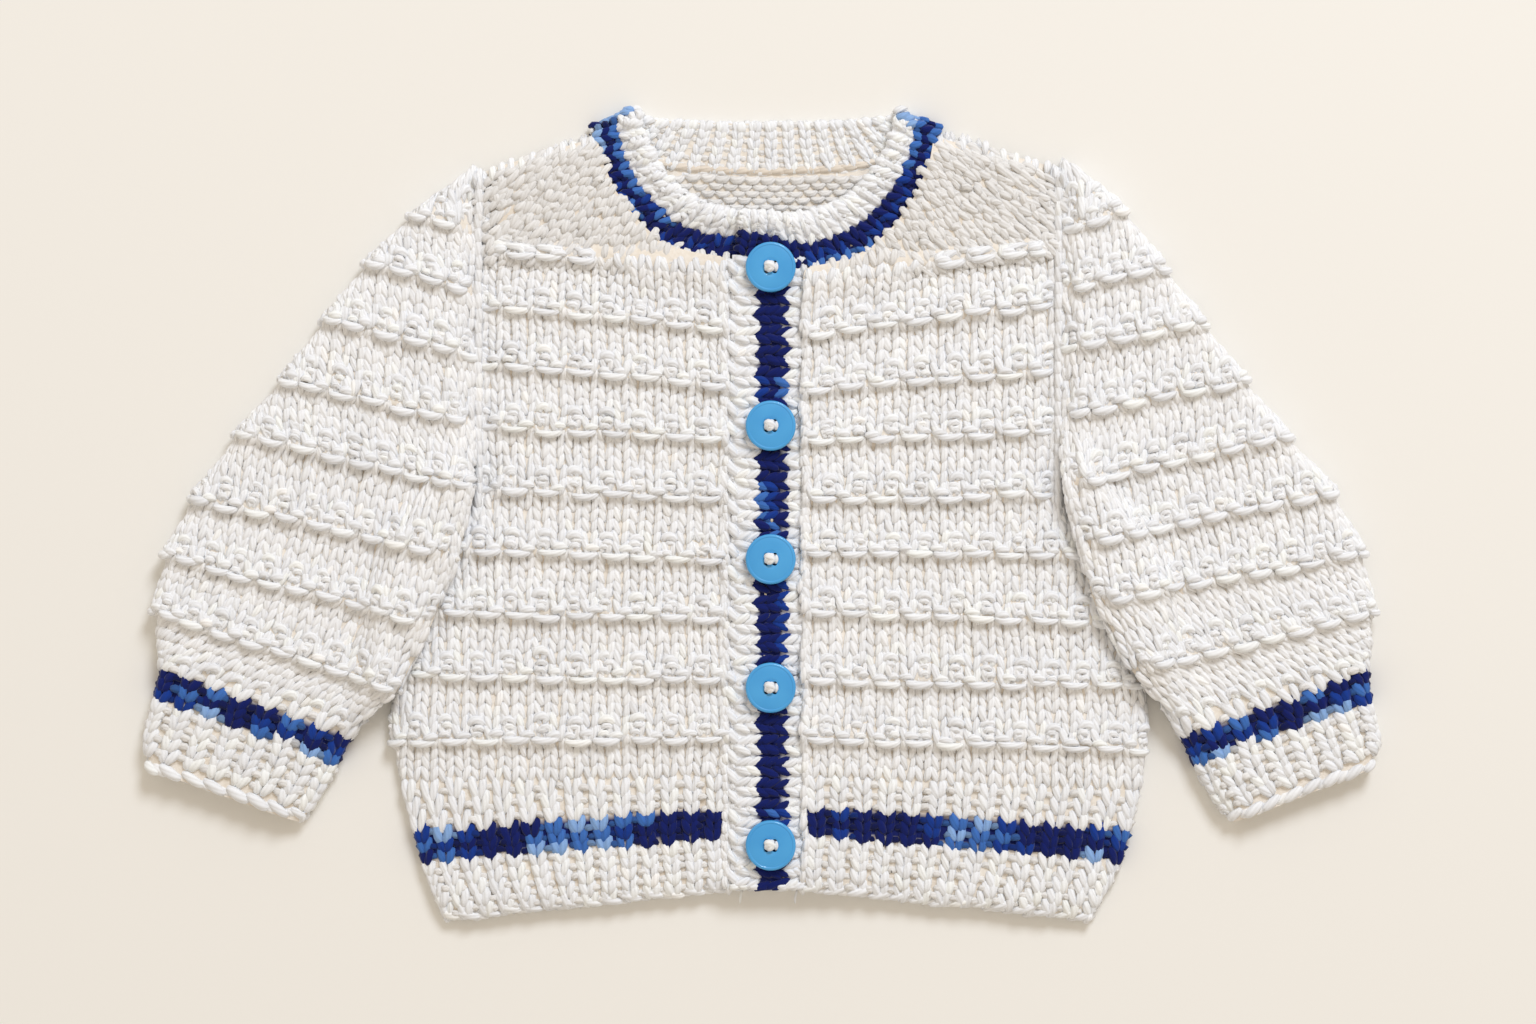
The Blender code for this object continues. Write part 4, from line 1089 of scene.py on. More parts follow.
def shell(name, skin, steps, ends=(0.0, 0.0), outer=SHELL_OUT, inner=SHELL_IN, shift=None,
          paint=recess):
    """A thin closed layer of cloth under the stitches, with steps of (rows, columns)
    of points.  Ends are the courses that it leaves free at the first and the last one,
    shift moves its points, and paint colours it."""
    courses = np.linspace(skin.courses[0] + ends[0], skin.courses[-1] - ends[1], steps[0])
    shares = np.linspace(0.0, 1.0, steps[1])
    grid_course = np.repeat(courses[:, None], steps[1], axis=1)
    grid_along = skin.length(courses)[:, None] * shares[None, :]
    faces = []
    for height in (outer, inner):
        points = skin.at(grid_along, grid_course, np.full(grid_course.shape, height))[0]
        points = points if shift is None else shift(points)
        faces.append(points.reshape(-1, 3))
    rows, columns = grid_course.shape
    vertices = np.concatenate(faces) * MM
    index = np.arange(rows * columns).reshape(rows, columns)
    under = index + rows * columns
    quads = []
    for grid, flip in ((index, False), (under, True)):
        quad = np.stack([grid[:-1, :-1], grid[:-1, 1:], grid[1:, 1:], grid[1:, :-1]], -1)
        quads.append(quad.reshape(-1, 4)[:, ::-1] if flip else quad.reshape(-1, 4))
    ring = np.concatenate([index[0, :-1], index[:-1, -1], index[-1, :0:-1], index[:0:-1, 0]])
    low = ring + rows * columns
    quads.append(np.stack([ring, low, np.roll(low, -1), np.roll(ring, -1)], -1))
    mesh = bpy.data.meshes.new(name)
    mesh.from_pydata(vertices.tolist(), [], np.concatenate(quads).tolist())
    mesh.update()
    # Painted shade: paint gives the outer face its stripes and its painted shade, and the inner face
    # has the ground's painted shade.
    outer_dyes_and_shades = paint(grid_course).reshape(-1, 3)
    inner_shades = np.broadcast_to(DYES_AND_SHADES["ground"], outer_dyes_and_shades.shape)
    paint_dyes_and_shades(mesh, np.concatenate([outer_dyes_and_shades, inner_shades]))
    made = add_object(name, mesh, GROUND)
    select_only(made)
    bpy.ops.object.mode_set(mode="EDIT")
    bpy.ops.mesh.select_all(action="SELECT")
    bpy.ops.mesh.normals_make_consistent(inside=False)
    bpy.ops.object.mode_set(mode="OBJECT")
    bpy.ops.object.shade_smooth_by_angle(angle=math.radians(50.0))
    return made


# --- Materials ---------------------------------------------------------------
PLIES = 5.0                # ridges round a strand
TWIST = 2.6                # ridges passed along one ply length of it
GROOVE_SHADE = (0.80, 0.78, 0.76)       # painted shade in the grooves between the plies
GROOVE_DEPTH = 0.35
LOOP_SHADE = (0.95, 0.93, 0.90)         # painted shade in the dips between the loops of the cloth
BUTTON_BLUES = (linear(60, 158, 224), linear(70, 167, 230))
FLOOR_COLOUR = linear(241, 240, 236)


def new_material(name, roughness, sheen=0.0, specular=0.5):
    """A material, its node tree and its shader."""
    made = bpy.data.materials.new(name)
    made.use_nodes = True
    shader = made.node_tree.nodes["Principled BSDF"]
    shader.inputs["Roughness"].default_value = roughness
    shader.inputs["Specular IOR Level"].default_value = specular
    shader.inputs["Sheen Weight"].default_value = sheen
    shader.inputs["Sheen Roughness"].default_value = 0.45
    return made, made.node_tree, shader


def maths(tree, operation, first, second=0.0):
    """A Math node fed by sockets or numbers; gives its result."""
    node = tree.nodes.new("ShaderNodeMath")
    node.operation = operation
    for socket, value in zip(node.inputs, (first, second)):
        if isinstance(value, float):
            socket.default_value = value
        else:
            tree.links.new(value, socket)
    return node.outputs[0]


def noise(tree, scale, detail=2.0):
    """Noise that lies still on the piece; gives its strength."""
    coords = tree.nodes.new("ShaderNodeTexCoord")
    node = tree.nodes.new("ShaderNodeTexNoise")
    node.inputs["Scale"].default_value = scale
    node.inputs["Detail"].default_value = detail
    tree.links.new(coords.outputs["Object"], node.inputs["Vector"])
    return node.outputs["Fac"]


def ramp(tree, strength, ends, colours=((0.0, 0.0, 0.0), (1.0, 1.0, 1.0))):
    """Turns a strength into colours, from one end to the other."""
    node = tree.nodes.new("ShaderNodeValToRGB")
    for element, end, colour in zip(node.color_ramp.elements, ends, colours):
        element.position = end
        element.color = (*colour, 1.0)
    tree.links.new(strength, node.inputs["Fac"])
    return node.outputs["Color"]


def bump(tree, height, strength, distance, under=None, invert=False):
    """Relief from a height, on top of the relief under it."""
    node = tree.nodes.new("ShaderNodeBump")
    node.invert = invert
    node.inputs["Strength"].default_value = strength
    node.inputs["Distance"].default_value = distance
    tree.links.new(height, node.inputs["Height"])
    if under is not None:
        tree.links.new(under, node.inputs["Normal"])
    return node.outputs["Normal"]


def dyed_and_shaded(tree, shader, tint, share):
    """Colours a piece from its colour attribute, and darkens it with painted shade where share says.
    """
    dye_and_shade = tree.nodes.new("ShaderNodeAttribute")
    dye_and_shade.attribute_name = "dye_and_shade"
    mix = tree.nodes.new("ShaderNodeMix")
    mix.data_type = "RGBA"
    mix.blend_type = "MULTIPLY"
    mix.inputs["B"].default_value = (*tint, 1.0)
    tree.links.new(share, mix.inputs["Factor"])
    tree.links.new(dye_and_shade.outputs["Color"], mix.inputs["A"])
    tree.links.new(mix.outputs["Result"], shader.inputs["Base Color"])


def yarn_material():
    """Plied wool: strands in their own colours, with twisting plies, painted shade in the grooves
    between them, and a fine fuzz.
    """
    made, tree, shader = new_material("plied_wool", 0.9, sheen=0.18, specular=0.25)
    strand = tree.nodes.new("ShaderNodeUVMap")
    strand.uv_map = "yarn"
    parts = tree.nodes.new("ShaderNodeSeparateXYZ")
    tree.links.new(strand.outputs["UV"], parts.inputs["Vector"])
    plies = maths(tree, "MULTIPLY", parts.outputs["X"], PLIES)
    turns = maths(tree, "MULTIPLY", parts.outputs["Y"], TWIST)
    phase = maths(tree, "MULTIPLY", maths(tree, "ADD", plies, turns), math.pi)
    ridge = maths(tree, "ABSOLUTE", maths(tree, "SINE", phase))
    ply_relief = bump(tree, ridge, 0.6, 0.0002)
    fuzz_relief = bump(tree, noise(tree, 2600.0, 3.0), 0.45, 0.00025, under=ply_relief)
    tree.links.new(fuzz_relief, shader.inputs["Normal"])
    groove = maths(tree, "SUBTRACT", 1.0, ridge)
    dyed_and_shaded(tree, shader, GROOVE_SHADE, maths(tree, "MULTIPLY", groove, GROOVE_DEPTH))
    return made


def ground_material():
    """The cloth behind the stitches: matt, warm with painted shade, and mottled with more painted
    shade in the dips between its loops.
    """
    made, tree, shader = new_material("wool_ground", 0.95)
    mottle = noise(tree, 750.0, 4.0)
    dyed_and_shaded(tree, shader, LOOP_SHADE, ramp(tree, mottle, (0.42, 0.62)))
    relief = bump(tree, mottle, 1.0, 0.0003, invert=True)
    tree.links.new(relief, shader.inputs["Normal"])
    return made


def button_material():
    """Glossy sky-blue plastic with a faint cloudiness and very fine wear."""
    made, tree, shader = new_material("blue_plastic", 0.42)
    shader.inputs["Coat Weight"].default_value = 0.4
    shader.inputs["Coat Roughness"].default_value = 0.08
    cloud = ramp(tree, noise(tree, 90.0), (0.35, 0.65), BUTTON_BLUES)
    tree.links.new(cloud, shader.inputs["Base Color"])
    wear = bump(tree, noise(tree, 900.0), 0.12, 0.00005)
    tree.links.new(wear, shader.inputs["Normal"])
    return made


WOOL = yarn_material()
GROUND = ground_material()
BUTTON_FINISH = button_material()


FLOOR_GAP = 0.02           # how far the lowest yarn stays above the surface


def declare(piece, nodes=()):
    """Fixes a piece to the garment and hides the solids that it stands for."""
    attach(piece, "root")
    if nodes:
        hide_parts(*nodes)
    return piece


def panel(name, slot_name, yarn, skin, steps, **cloth):
    """A panel's two pieces: its cloth, which stands for its solid, and its stitches."""
    stitches = declare(yarn.piece(name + "_stitches", WOOL, floor=FLOOR_GAP))
    ground = shell(name + "_cloth", skin, steps, **cloth)
    return declare(ground, (name,)), stitches


# --- Fronts ------------------------------------------------------------------
LEFT_LIFT = OVERLAP_BASE - FRONT_BASE
FRONT_COURSES = range(0, 52)
BAND_SIDE = (1.0, 62.0)    # courses of the edge stitches beside the front band
ARMHOLE_SIDE = (-9.5, 25.0)    # and beside the armhole


def straight_columns(skin, column):
    """Columns a stitch width apart from the inner edge, as far as the course goes."""
    def found(course):
        number = int(skin.length(course) / column + 0.6)
        numbers = np.arange(number)
        return (numbers + 0.5) * column, numbers
    return found


YOKE_FIRST = 0.35          # a yoke's first column
YOKE_SPACING = 0.97        # and how far apart they are, in columns
YOKE_LOOPS = 0.4           # share of its stitches with a loop beside them


def yoke(yarn, fan):
    """Stitches of a yoke, whose columns fan out to the shoulder and the neck."""
    for number in np.arange(YOKE_FIRST, fan.numbers[-1], YOKE_SPACING):
        reach = float(fan.reach(np.array(number)))
        rows = max(int(round(reach - 0.5)), 1)
        step = max(reach - 0.6, 0.0) / max(rows - 1, 1)
        course = 0.25 - step * np.arange(rows) + DRAW.uniform(-0.2, 0.2)
        along = np.full(rows, number)
        knit(yarn, fan, along, course, 1.05, DYES_AND_SHADES["shaded"], YARN * 1.08, uneven=2.0)
        loops = course[DRAW.random(rows) < YOKE_LOOPS]
        strands(yarn, fan, BUMP * (0.8, 0.8, 1.0), np.full(len(loops), number + 0.4), loops, 1.0,
                DYES_AND_SHADES["shaded"], YARN, uneven=3.0, deeper=-0.2)


# Where a front's first row runs in under the neckband: from start to end beside the
# middle, low_y + slope * x above the hem, and how high.
Wedge = namedtuple("Wedge", "side start end low_y slope height")
WEDGE_RIGHT = Wedge(-1.0, 12.0, 38.0, 73.9, 0.19, FRONT_BASE + KNIT + 1.3)
WEDGE_LEFT = Wedge(1.0, 15.0, 40.0, 70.8, 0.18, OVERLAP_BASE + KNIT + 0.4)


def neck_row(yarn, wedge):
    """A row of stitches in the wedge between the first tier and the neckband."""
    x = np.arange(wedge.start, wedge.end, 0.85 * COLUMN)
    y = wedge.low_y + wedge.slope * x
    for leg_side in (-1.0, 1.0):
        paths = place_level(LEG * (leg_side, 1.0, 1.0), wedge.side * x, y, wedge.height, COLUMN, 1.5)
        yarn.lay(SPACE, paths, YARN * 1.1, shade(DYES_AND_SHADES["shaded"], len(x)))


def front(name, table, fans, wedge, chart, lift):
    """A front: tiers, striped ribbing at the hem and a fanned yoke."""
    skin = front_skin(table, lift)
    crest = front_skin(table, lift, crest=True)
    yarn = Yarn()
    columns = straight_columns(skin, COLUMN)
    tiers(yarn, skin, crest, FRONT_COURSES, columns, COLUMN, lip_from=LIP_FROM)
    edge_legs(yarn, skin, BAND_SIDE, inset=0.3)
    edge_legs(yarn, skin, ARMHOLE_SIDE, inset=2.4, far=True)
    ribbing(yarn, skin, HEM, chart, HEM_RIBS, 1.0)
    cast_on(yarn, skin, HEM.cast_on, HEM_RIBS, 1.0)
    yoke(yarn, FanSkin(fans, table, lift))
    neck_row(yarn, wedge)
    return panel(name, "cream_wool", yarn, skin, (150, 26), paint=striped(HEM_DARK))


FRONT_RIGHT_PIECES = front("front_right", FRONT_RIGHT, YOKE_RIGHT, WEDGE_RIGHT, HEM_RIGHT_CHART, 0.0)
FRONT_LEFT_PIECES = front("front_left", FRONT_LEFT, YOKE_LEFT, WEDGE_LEFT, HEM_LEFT_CHART, LEFT_LIFT)


# --- Sleeves -----------------------------------------------------------------
SLEEVE_COURSES = range(-3, 47)
SEAM_SIDE = (-2.5, 33.0)       # courses of the edge stitches beside a sleeve's seam
UNDERARM_SIDE = (16.0, 33.0)   # and of a second line of them under the arm
UPPER_PAST = 3.0               # how far round the fold the full stitches go on


def sleeve_columns(table, skin, column):
    """Columns that run straight down the sleeve, so they shift against its seam."""
    courses = skin.courses
    inner = side_of(table, "inner", courses)
    outer = side_of(table, "outer", courses)
    across = (outer - inner) / np.linalg.norm(outer - inner, axis=1, keepdims=True)
    steps = -(np.diff(inner, axis=0) * across[:-1]).sum(axis=1)
    shifts = np.concatenate(([0.0], np.cumsum(steps)))
    narrow = np.interp(courses, (SLEEVE_LAST, SLEEVE_LAST + COURSES), (1.0, 0.9))

    def found(course):
        shift = float(np.interp(course, courses, shifts))
        length = float(skin.length(course))
        pitch = column * float(np.interp(course, courses, narrow))
        first = math.ceil(-shift / pitch)
        numbers = np.arange(first, first + int(length / pitch) + 3)
        along = shift + (numbers + 0.5) * pitch
        keep = (along > 0.3 * pitch) & (along < length - 0.3 * pitch)
        return along[keep], numbers[keep]
    return found


def sleeve(name, table):
    """A sleeve: tiers down to the forearm and a striped ribbed cuff."""
    skin = sleeve_skin(table)
    crest = sleeve_skin(table, crest=True)
    yarn = Yarn()
    columns = sleeve_columns(table, skin, SLEEVE_COLUMN)

    def upper(along, course):
        return along < 0.5 * skin.length(course) + UPPER_PAST

    def lower(along, course):
        return ~upper(along, course)

    tiers(yarn, skin, crest, SLEEVE_COURSES, columns, SLEEVE_COLUMN, heavy=1.12, shown=upper)
    tiers(yarn, skin, skin, SLEEVE_COURSES, columns, SLEEVE_COLUMN, HIDDEN, shown=lower)
    edge_legs(yarn, skin, SEAM_SIDE, inset=1.0)
    edge_legs(yarn, skin, UNDERARM_SIDE, inset=3.2)
    ribbing(yarn, skin, CUFF, CUFF_CHART, CUFF_RIBS, 1.12)
    cast_on(yarn, skin, CUFF.cast_on, CUFF_RIBS, 1.15)
    return panel(name, "cream_wool", yarn, skin, (120, 40), paint=striped(CUFF_DARK))


SLEEVE_RIGHT_PIECES = sleeve("sleeve_right", SLEEVE_RIGHT)
SLEEVE_LEFT_PIECES = sleeve("sleeve_left", SLEEVE_LEFT)


# --- Back --------------------------------------------------------------------
BACK_COURSES = range(-12, 52)
LEFT_HEM_AT = 115          # distance along the back's hem where the left side's stripes start
BACK_MIDDLE = NECK_BACK[3]
INSIDE_ROW = 2.2           # rows of purl bumps on the back's inside, at the neck
INSIDE_COLUMN = 4.5
INSIDE_LOW_Y = 74.0
INSIDE_REACH = (-52.0, 55.0)
ROLL_REACH = (-38.0, 39.0)     # the seam's roll under the neckband
ROLL_STEP = 3.6


def neckline_y(x):
    """Where the back ends under the neckband and shoulders."""
    xs = [FRONT_RIGHT[0].outer_x, FOLD_RIGHT.seam_x] + [s.seam_x for s in NECK_BACK]
    ys = [FRONT_RIGHT[0].outer_y, FOLD_RIGHT.seam_y] + [s.seam_y for s in NECK_BACK]
    xs += [FOLD_LEFT.seam_x, FRONT_LEFT[0].outer_x]
    ys += [FOLD_LEFT.seam_y, FRONT_LEFT[0].outer_y]
    return np.interp(x, xs, ys)


def inside_back(yarn):
    """The back's inside at the neck: purl bumps, each row half a stitch over, and the
    roll of the neckband's seam."""
    rows = int((BACK_MIDDLE.seam_y - INSIDE_LOW_Y) / INSIDE_ROW)
    for row in range(rows):
        y = BACK_MIDDLE.seam_y - 1.7 - row * INSIDE_ROW
        x = np.arange(*INSIDE_REACH, INSIDE_COLUMN) + (0.5 * INSIDE_COLUMN if row % 2 else 0.0)
        x = x[y + 1.5 < neckline_y(x)]
        size = 1.25 if row == 0 else 1.0
        paths = place_level(BUMP * (1.1, -0.8, 0.8), x, y, KNIT + 0.85, INSIDE_COLUMN, 0.8)
        yarn.lay(SPACE, paths, 1.12 * size, shade(DYES_AND_SHADES["shaded"], len(paths)), form=BALL)
    # The seam's roll lies under the neckband, in painted shade.
    x = np.arange(*ROLL_REACH, ROLL_STEP)
    paths = ROLL + np.stack([x, neckline_y(x) + 0.2, np.full(len(x), KNIT - 0.4)], 1)[:, None]
    yarn.lay(SPACE, paths, 1.3, shade(DYES_AND_SHADES["recess"], len(x)), form=BALL)


def back():
    """The back: its outer face lies down, and its inside shows at the neck."""
    skin = back_skin()
    yarn = Yarn()

    def columns(course):
        length = float(skin.length(course))
        numbers = np.arange(int(length / COLUMN))
        offset = 0.5 * (length - len(numbers) * COLUMN)
        return offset + (numbers + 0.5) * COLUMN, numbers

    def below_neck(along, course):
        points = skin.at(along, np.full(len(along), float(course)), np.zeros(len(along)))[0]
        return points[:, 1] < neckline_y(points[:, 0]) - 1.0

    def under_neckline(points):
        points[..., 1] = np.minimum(points[..., 1], neckline_y(points[..., 0]) - 0.6)
        return points

    tiers(yarn, skin, skin, BACK_COURSES, columns, COLUMN, HIDDEN, shown=below_neck)
    left_chart = tuple(s._replace(until=s.until + LEFT_HEM_AT) for s in HEM_LEFT_CHART)
    ribbing(yarn, skin, HEM, HEM_RIGHT_CHART + left_chart, BACK_RIBS, 1.05, HIDDEN)
    cast_on(yarn, skin, HEM.cast_on, BACK_RIBS, 1.0)
    inside_back(yarn)
    return panel("back", "cream_wool", yarn, skin, (64, 60), outer=-1.1, inner=-1.75,
                 shift=under_neckline, paint=striped(BACK_DARK))


BACK = back()


# --- Neckband ----------------------------------------------------------------
NECK_RIB = 5.9             # width of a rib along the neckband
INNER_RIB = 5.4            # and of a rib on its inside, at the back
INNER_ROWS = 6
NECK_BLUE = (5.8, 4.85, 3.9)           # courses of the striped rows
NECK_WHITE = (2.75, 2.0, 1.25, 0.5)    # and of the white ones
TURNED_PAST = 3.0          # how far beside a shoulder fold the band counts as turned
SKY_REACH = (-4.5, 1.5)    # where, beside a shoulder fold, the white rows are sky blue
# Dyes of the neckband's striped rows, from the right front's end round to the left's.
NECK_CHART = (
    Stripe(22, "navy", "navy", "royal"),
    Stripe(28, "navy", "royal", "navy"),
    Stripe(34, "royal", "navy", "navy"),
    Stripe(39, "navy", "navy", "blue"),
    Stripe(46, "blue", "navy", "royal"),
    Stripe(52, "royal", "navy", "blue"),
    Stripe(60, "navy", "navy", "blue"),
    Stripe(71, "sky", "navy", "blue"),
    Stripe(80, "navy", "sky", "sky"),
    Stripe(100, "navy", "navy", "blue"),
    Stripe(130, "royal", "navy", "navy"),
    Stripe(156, "navy", "royal", "navy"),
    Stripe(166, "navy", "sky", "sky"),
    Stripe(174, "blue", "navy", "blue"),
    Stripe(183, "royal", "navy", "blue"),
    Stripe(190, "navy", "navy", "royal"),
    Stripe(206, "navy", "royal", "navy"),
    Stripe(214, "blue", "navy", "navy"),
    Stripe(222, "blue", "royal", "navy"),
    Stripe(400, "navy", "navy", "navy"),
)


def neck_outside(yarn, skin, turned):
    """The neckband's outside: blue ribs along its seam and a plump white roll."""
    length = float(skin.length(0.0))
    ribs = round(length / NECK_RIB)
    width = length / ribs
    along = (np.arange(ribs) + 0.5) * width
    between = along + 0.5 * width

    def proud(places, height):
        """Lifts strands off the cloth, but sinks them where the band lies turned over."""
        under = (places > turned[0] - TURNED_PAST) & (places < turned[1] + TURNED_PAST)
        return np.where(under, -0.7, -height)

    for row, course in enumerate(NECK_BLUE):
        dye_and_shade = stripe_dyes(NECK_CHART, along, row)
        knit(yarn, skin, along, course, width * 0.94, dye_and_shade, YARN * 1.08, deeper=proud(along, 0.5),
             guides=RIB_LEG)
        # Painted shade in the gaps between the ribs.
        dye_and_shade = stripe_dyes(NECK_CHART, between, row) * GAP_SHADE
        strands(yarn, skin, BEAD * (0.9, 1.2, 1.0), between, course, width, dye_and_shade, YARN,
                deeper=proud(between, 0.3))
    sky = np.zeros(ribs, bool)
    for fold, hand in ((turned[0], 1.0), (turned[1], -1.0)):
        beside = (along - fold) * hand
        sky |= (beside > SKY_REACH[0]) & (beside < SKY_REACH[1])
    for row, course in enumerate(NECK_WHITE):
        dye_and_shade = np.where((sky & (row < 3))[:, None], DYES_AND_SHADES["sky"], WHITE)
        knit(yarn, skin, along, course, width * 0.98, dye_and_shade, YARN * 1.08, uneven=1.3,
             deeper=proud(along, 0.35))
        strands(yarn, skin, BEAD * (0.8, 1.6, 1.0), between, course, width, WHITE,
                YARN * 1.05, deeper=proud(between, 0.3), uneven=1.5)
    for hand in (-1.0, 1.0):
        strands(yarn, skin, EDGE_LOOP * (hand, 1.0, 1.0), along, 0.0, width, WHITE,
                YARN * 1.15, LONG, uneven=2.0)
    flecks(yarn, skin, 22, (20.0, length), (3.8, 5.6))


def neck_inside(yarn, skin, turned):
    """The neckband's inside, which shows at the back of the neck."""
    behind = np.arange(turned[0], turned[1], INNER_RIB)
    gaps = behind[:-1] + 0.5 * INNER_RIB
    for row in range(INNER_ROWS):
        course = 0.45 + row
        knit(yarn, skin, behind, course, INNER_RIB * 0.56, WHITE, YARN * 0.95, deeper=-0.5)
        strands(yarn, skin, BEAD, gaps, course, INNER_RIB, DYES_AND_SHADES["shaded"], YARN * 0.9, deeper=-0.1)
    strands(yarn, skin, EDGE_LOOP * (0.4, 0.7, 1.0), behind, 0.1, INNER_RIB, WHITE, YARN * 1.45)
    # Bumps along the seam, in painted shade.
    for places in (behind, gaps):
        strands(yarn, skin, BUMP * (0.7, 0.8, 1.0), places, 6.35, INNER_RIB, hollow_dye(0.3), YARN,
                uneven=1.5)


def neckband():
    """The neckband, which turns over at both shoulders."""
    outer, inner, turned = neck_skin(1), neck_skin(-1), neck_turned()
    yarn = Yarn()
    neck_outside(yarn, outer, turned)
    neck_inside(yarn, inner, turned)
    return panel("neckband", "striped_wool", yarn, outer, (14, 120), ends=(1.0, 0.6), outer=-0.4,
                 inner=-2.1, paint=striped(NECK_DARK, WHITE))


NECKBAND = neckband()


# --- Front bands -------------------------------------------------------------
BAND_RIB = 6.2             # width of a rib along a band
BAND_CHAIN = 0.45          # course of the cast-off chain
BAND_FIRST = 1.45          # and of the first row of ribs
BAND_ROWS = 7
BAND_STRIPE = (2, 3, 4)    # the striped rows
STRIPE_REACH = (3.2, 5.4)  # and the courses between which they lie
BAND_CHART = (
    Stripe(38, "navy", "navy", "navy"),
    Stripe(44, "royal", "navy", "blue"),
    Stripe(70, "navy", "navy", "navy"),
    Stripe(77, "blue", "royal", "navy"),
    Stripe(84, "navy", "blue", "navy"),
    Stripe(120, "navy", "navy", "royal"),
    Stripe(126, "navy", "royal", "navy"),
    Stripe(165, "navy", "navy", "navy"),
    Stripe(172, "navy", "blue", "royal"),
    Stripe(300, "navy", "navy", "navy"),
)


def band(name, base, chart, shape, slot_name):
    """A front band, ribbed sideways from the front to its cast-off edge."""
    skin = band_skin(base)
    yarn = Yarn()
    length = float(skin.length(0.0))
    ribs = round(length / BAND_RIB)
    width = length / ribs
    along = (np.arange(ribs) + 0.5) * width
    between = along[:-1] + 0.5 * width
    for row in range(BAND_ROWS):
        course = BAND_FIRST + 0.97 * row
        # Painted shade in the gaps between the ribs, on white and on striped rows.
        dye_and_shade, gap_dye_and_shade = WHITE, hollow_dye(0.4)
        if chart and row in BAND_STRIPE:
            dye_and_shade = stripe_dyes(chart, along, BAND_STRIPE.index(row))
            gap_dye_and_shade = stripe_dyes(chart, between, BAND_STRIPE.index(row)) * GAP_SHADE
        strands(yarn, skin, BEAD * (0.8, 1.0, 1.0), between, course, width, gap_dye_and_shade, YARN, shape,
                deeper=0.1)
        knit(yarn, skin, along, course, width, dye_and_shade, YARN * 1.15, shape, uneven=0.9, guides=BAND_LEG)
    strands(yarn, skin, CHAIN, along, BAND_CHAIN, width, WHITE, YARN * 1.2, LONG)
    foot = np.arange(0.8, BAND_COURSES, 0.95)
    dye_and_shade = np.repeat(WHITE[None], len(foot), axis=0)
    if chart:
        dye_and_shade[(foot > STRIPE_REACH[0]) & (foot < STRIPE_REACH[1])] = DYES_AND_SHADES["navy"]
    strands(yarn, skin, FOOT, np.full(len(foot), length - 0.5), foot, width, dye_and_shade, YARN, shape)
    strands(yarn, skin, BUMP * (0.4, 0.9, 1.0), between, BAND_CHAIN + 0.3, width, WHITE,
            YARN * 1.05, shape, deeper=0.3)
    if chart:
        flecks(yarn, skin, 14, (10.0, length - 4.0), STRIPE_REACH)
    paint = striped(BAND_DARK, WHITE) if chart else recess
    return panel(name, slot_name, yarn, skin, (20, 90), ends=(0.4, 0.1), outer=-0.8, paint=paint)


BUTTON_BAND = band("button_band", FRONT_BASE, None, HIDDEN, "cream_wool")
BUTTONHOLE_BAND = band("buttonhole_band", OVERLAP_BASE, BAND_CHART, FINE, "striped_wool")


# --- Seams and loose ends ----------------------------------------------------
YARN_ENDS_X = (-5.4, 11.1)     # where ends of yarn hang at the foot of the front band
YARN_END_RADIUS = 0.38
ARMHOLE_LOW_Y = -4.0           # where the stitches in an armhole end


def edge_line(yarn, guides, x, top_y, low_y, z, step, radius, uneven, shape=FINE):
    """Strands in painted shade one below the other, such as a panel's edge stitches beside a seam."""
    ys = np.arange(low_y, top_y, step)
    middles = np.stack([np.full(len(ys), x), ys, np.full(len(ys), z)], 1)[:, None]
    paths = guides + middles + unevenness(len(ys), uneven)
    yarn.lay(SPACE, paths, radius, shade(hollow_dye(0.6), len(ys)), shape, BALL)


def seams():
    """Edge stitches in the armholes and beside the front band, shoulder seams, and two
    ends of yarn."""
    yarn = Yarn()
    top, low = BAND_TOP_Y - 1.0, BAND_LOW_Y + 1.0
    edge_line(yarn, SELVEDGE, BAND_RIGHT_X - 0.2, top, low, z=FRONT_BASE + 3.4, step=2.9,
              radius=1.15, uneven=(0.2, 0.4, 0.2))
    for x, z in ((BAND_RIGHT_X + 0.6, FRONT_BASE + 2.9), (BAND_LEFT_X + 0.05, OVERLAP_BASE + 1.0)):
        edge_line(yarn, WELT, x, top, low, z, step=4.0, radius=1.35, uneven=(0.05, 0.3, 0.05),
                  shape=PLAIN)
    for first in (FRONT_RIGHT[0], FRONT_LEFT[0]):
        top = first.outer_y - 2.0
        edge_line(yarn, WELT, first.outer_x, top, ARMHOLE_LOW_Y, z=4.9, step=4.0, radius=1.45,
                  uneven=(0.1, 0.3, 0.1), shape=PLAIN)
        shares = np.arange(0.02, 1.0, 0.085)
        xs = first.outer_x + (first.inner_x - first.outer_x) * shares
        ys = first.outer_y + (first.inner_y - first.outer_y) * shares
        paths = OVERCAST[None] + np.stack([xs, ys, np.zeros(len(xs))], 1)[:, None]
        paths = paths + unevenness(len(xs), (0.5, 0.4, 0.3))
        yarn.lay(SPACE, paths, 1.15, shade(WHITE, len(xs)), LONG, BALL)
    for x in YARN_ENDS_X:
        path = YARN_END + (x, BAND_LOW_Y - 0.4, FRONT_BASE + KNIT)
        yarn.lay(SPACE, path[None], YARN_END_RADIUS, shade(WHITE, 1), LONG, TAIL)
    declare(yarn.piece("seam_stitches", WOOL))


seams()


# --- Buttons -----------------------------------------------------------------
BUTTON_THICK = 2.55
BUTTON_EDGE = 0.62         # rounding of its rim
HOLE_RADIUS = 0.72
HOLE_OUT = 1.2             # from the button's middle to a hole's, along X and along Y
HOLE_SIDES = (-HOLE_OUT, HOLE_OUT)
HOLE_EDGE = 0.1            # rounding of a hole's rim
SHANK_DOWN = 1.3           # how far the thread's legs reach below the button
LEG_RADIUS = 0.42
SHANK_RADIUS = 0.4
SHANK_TURNS = 3
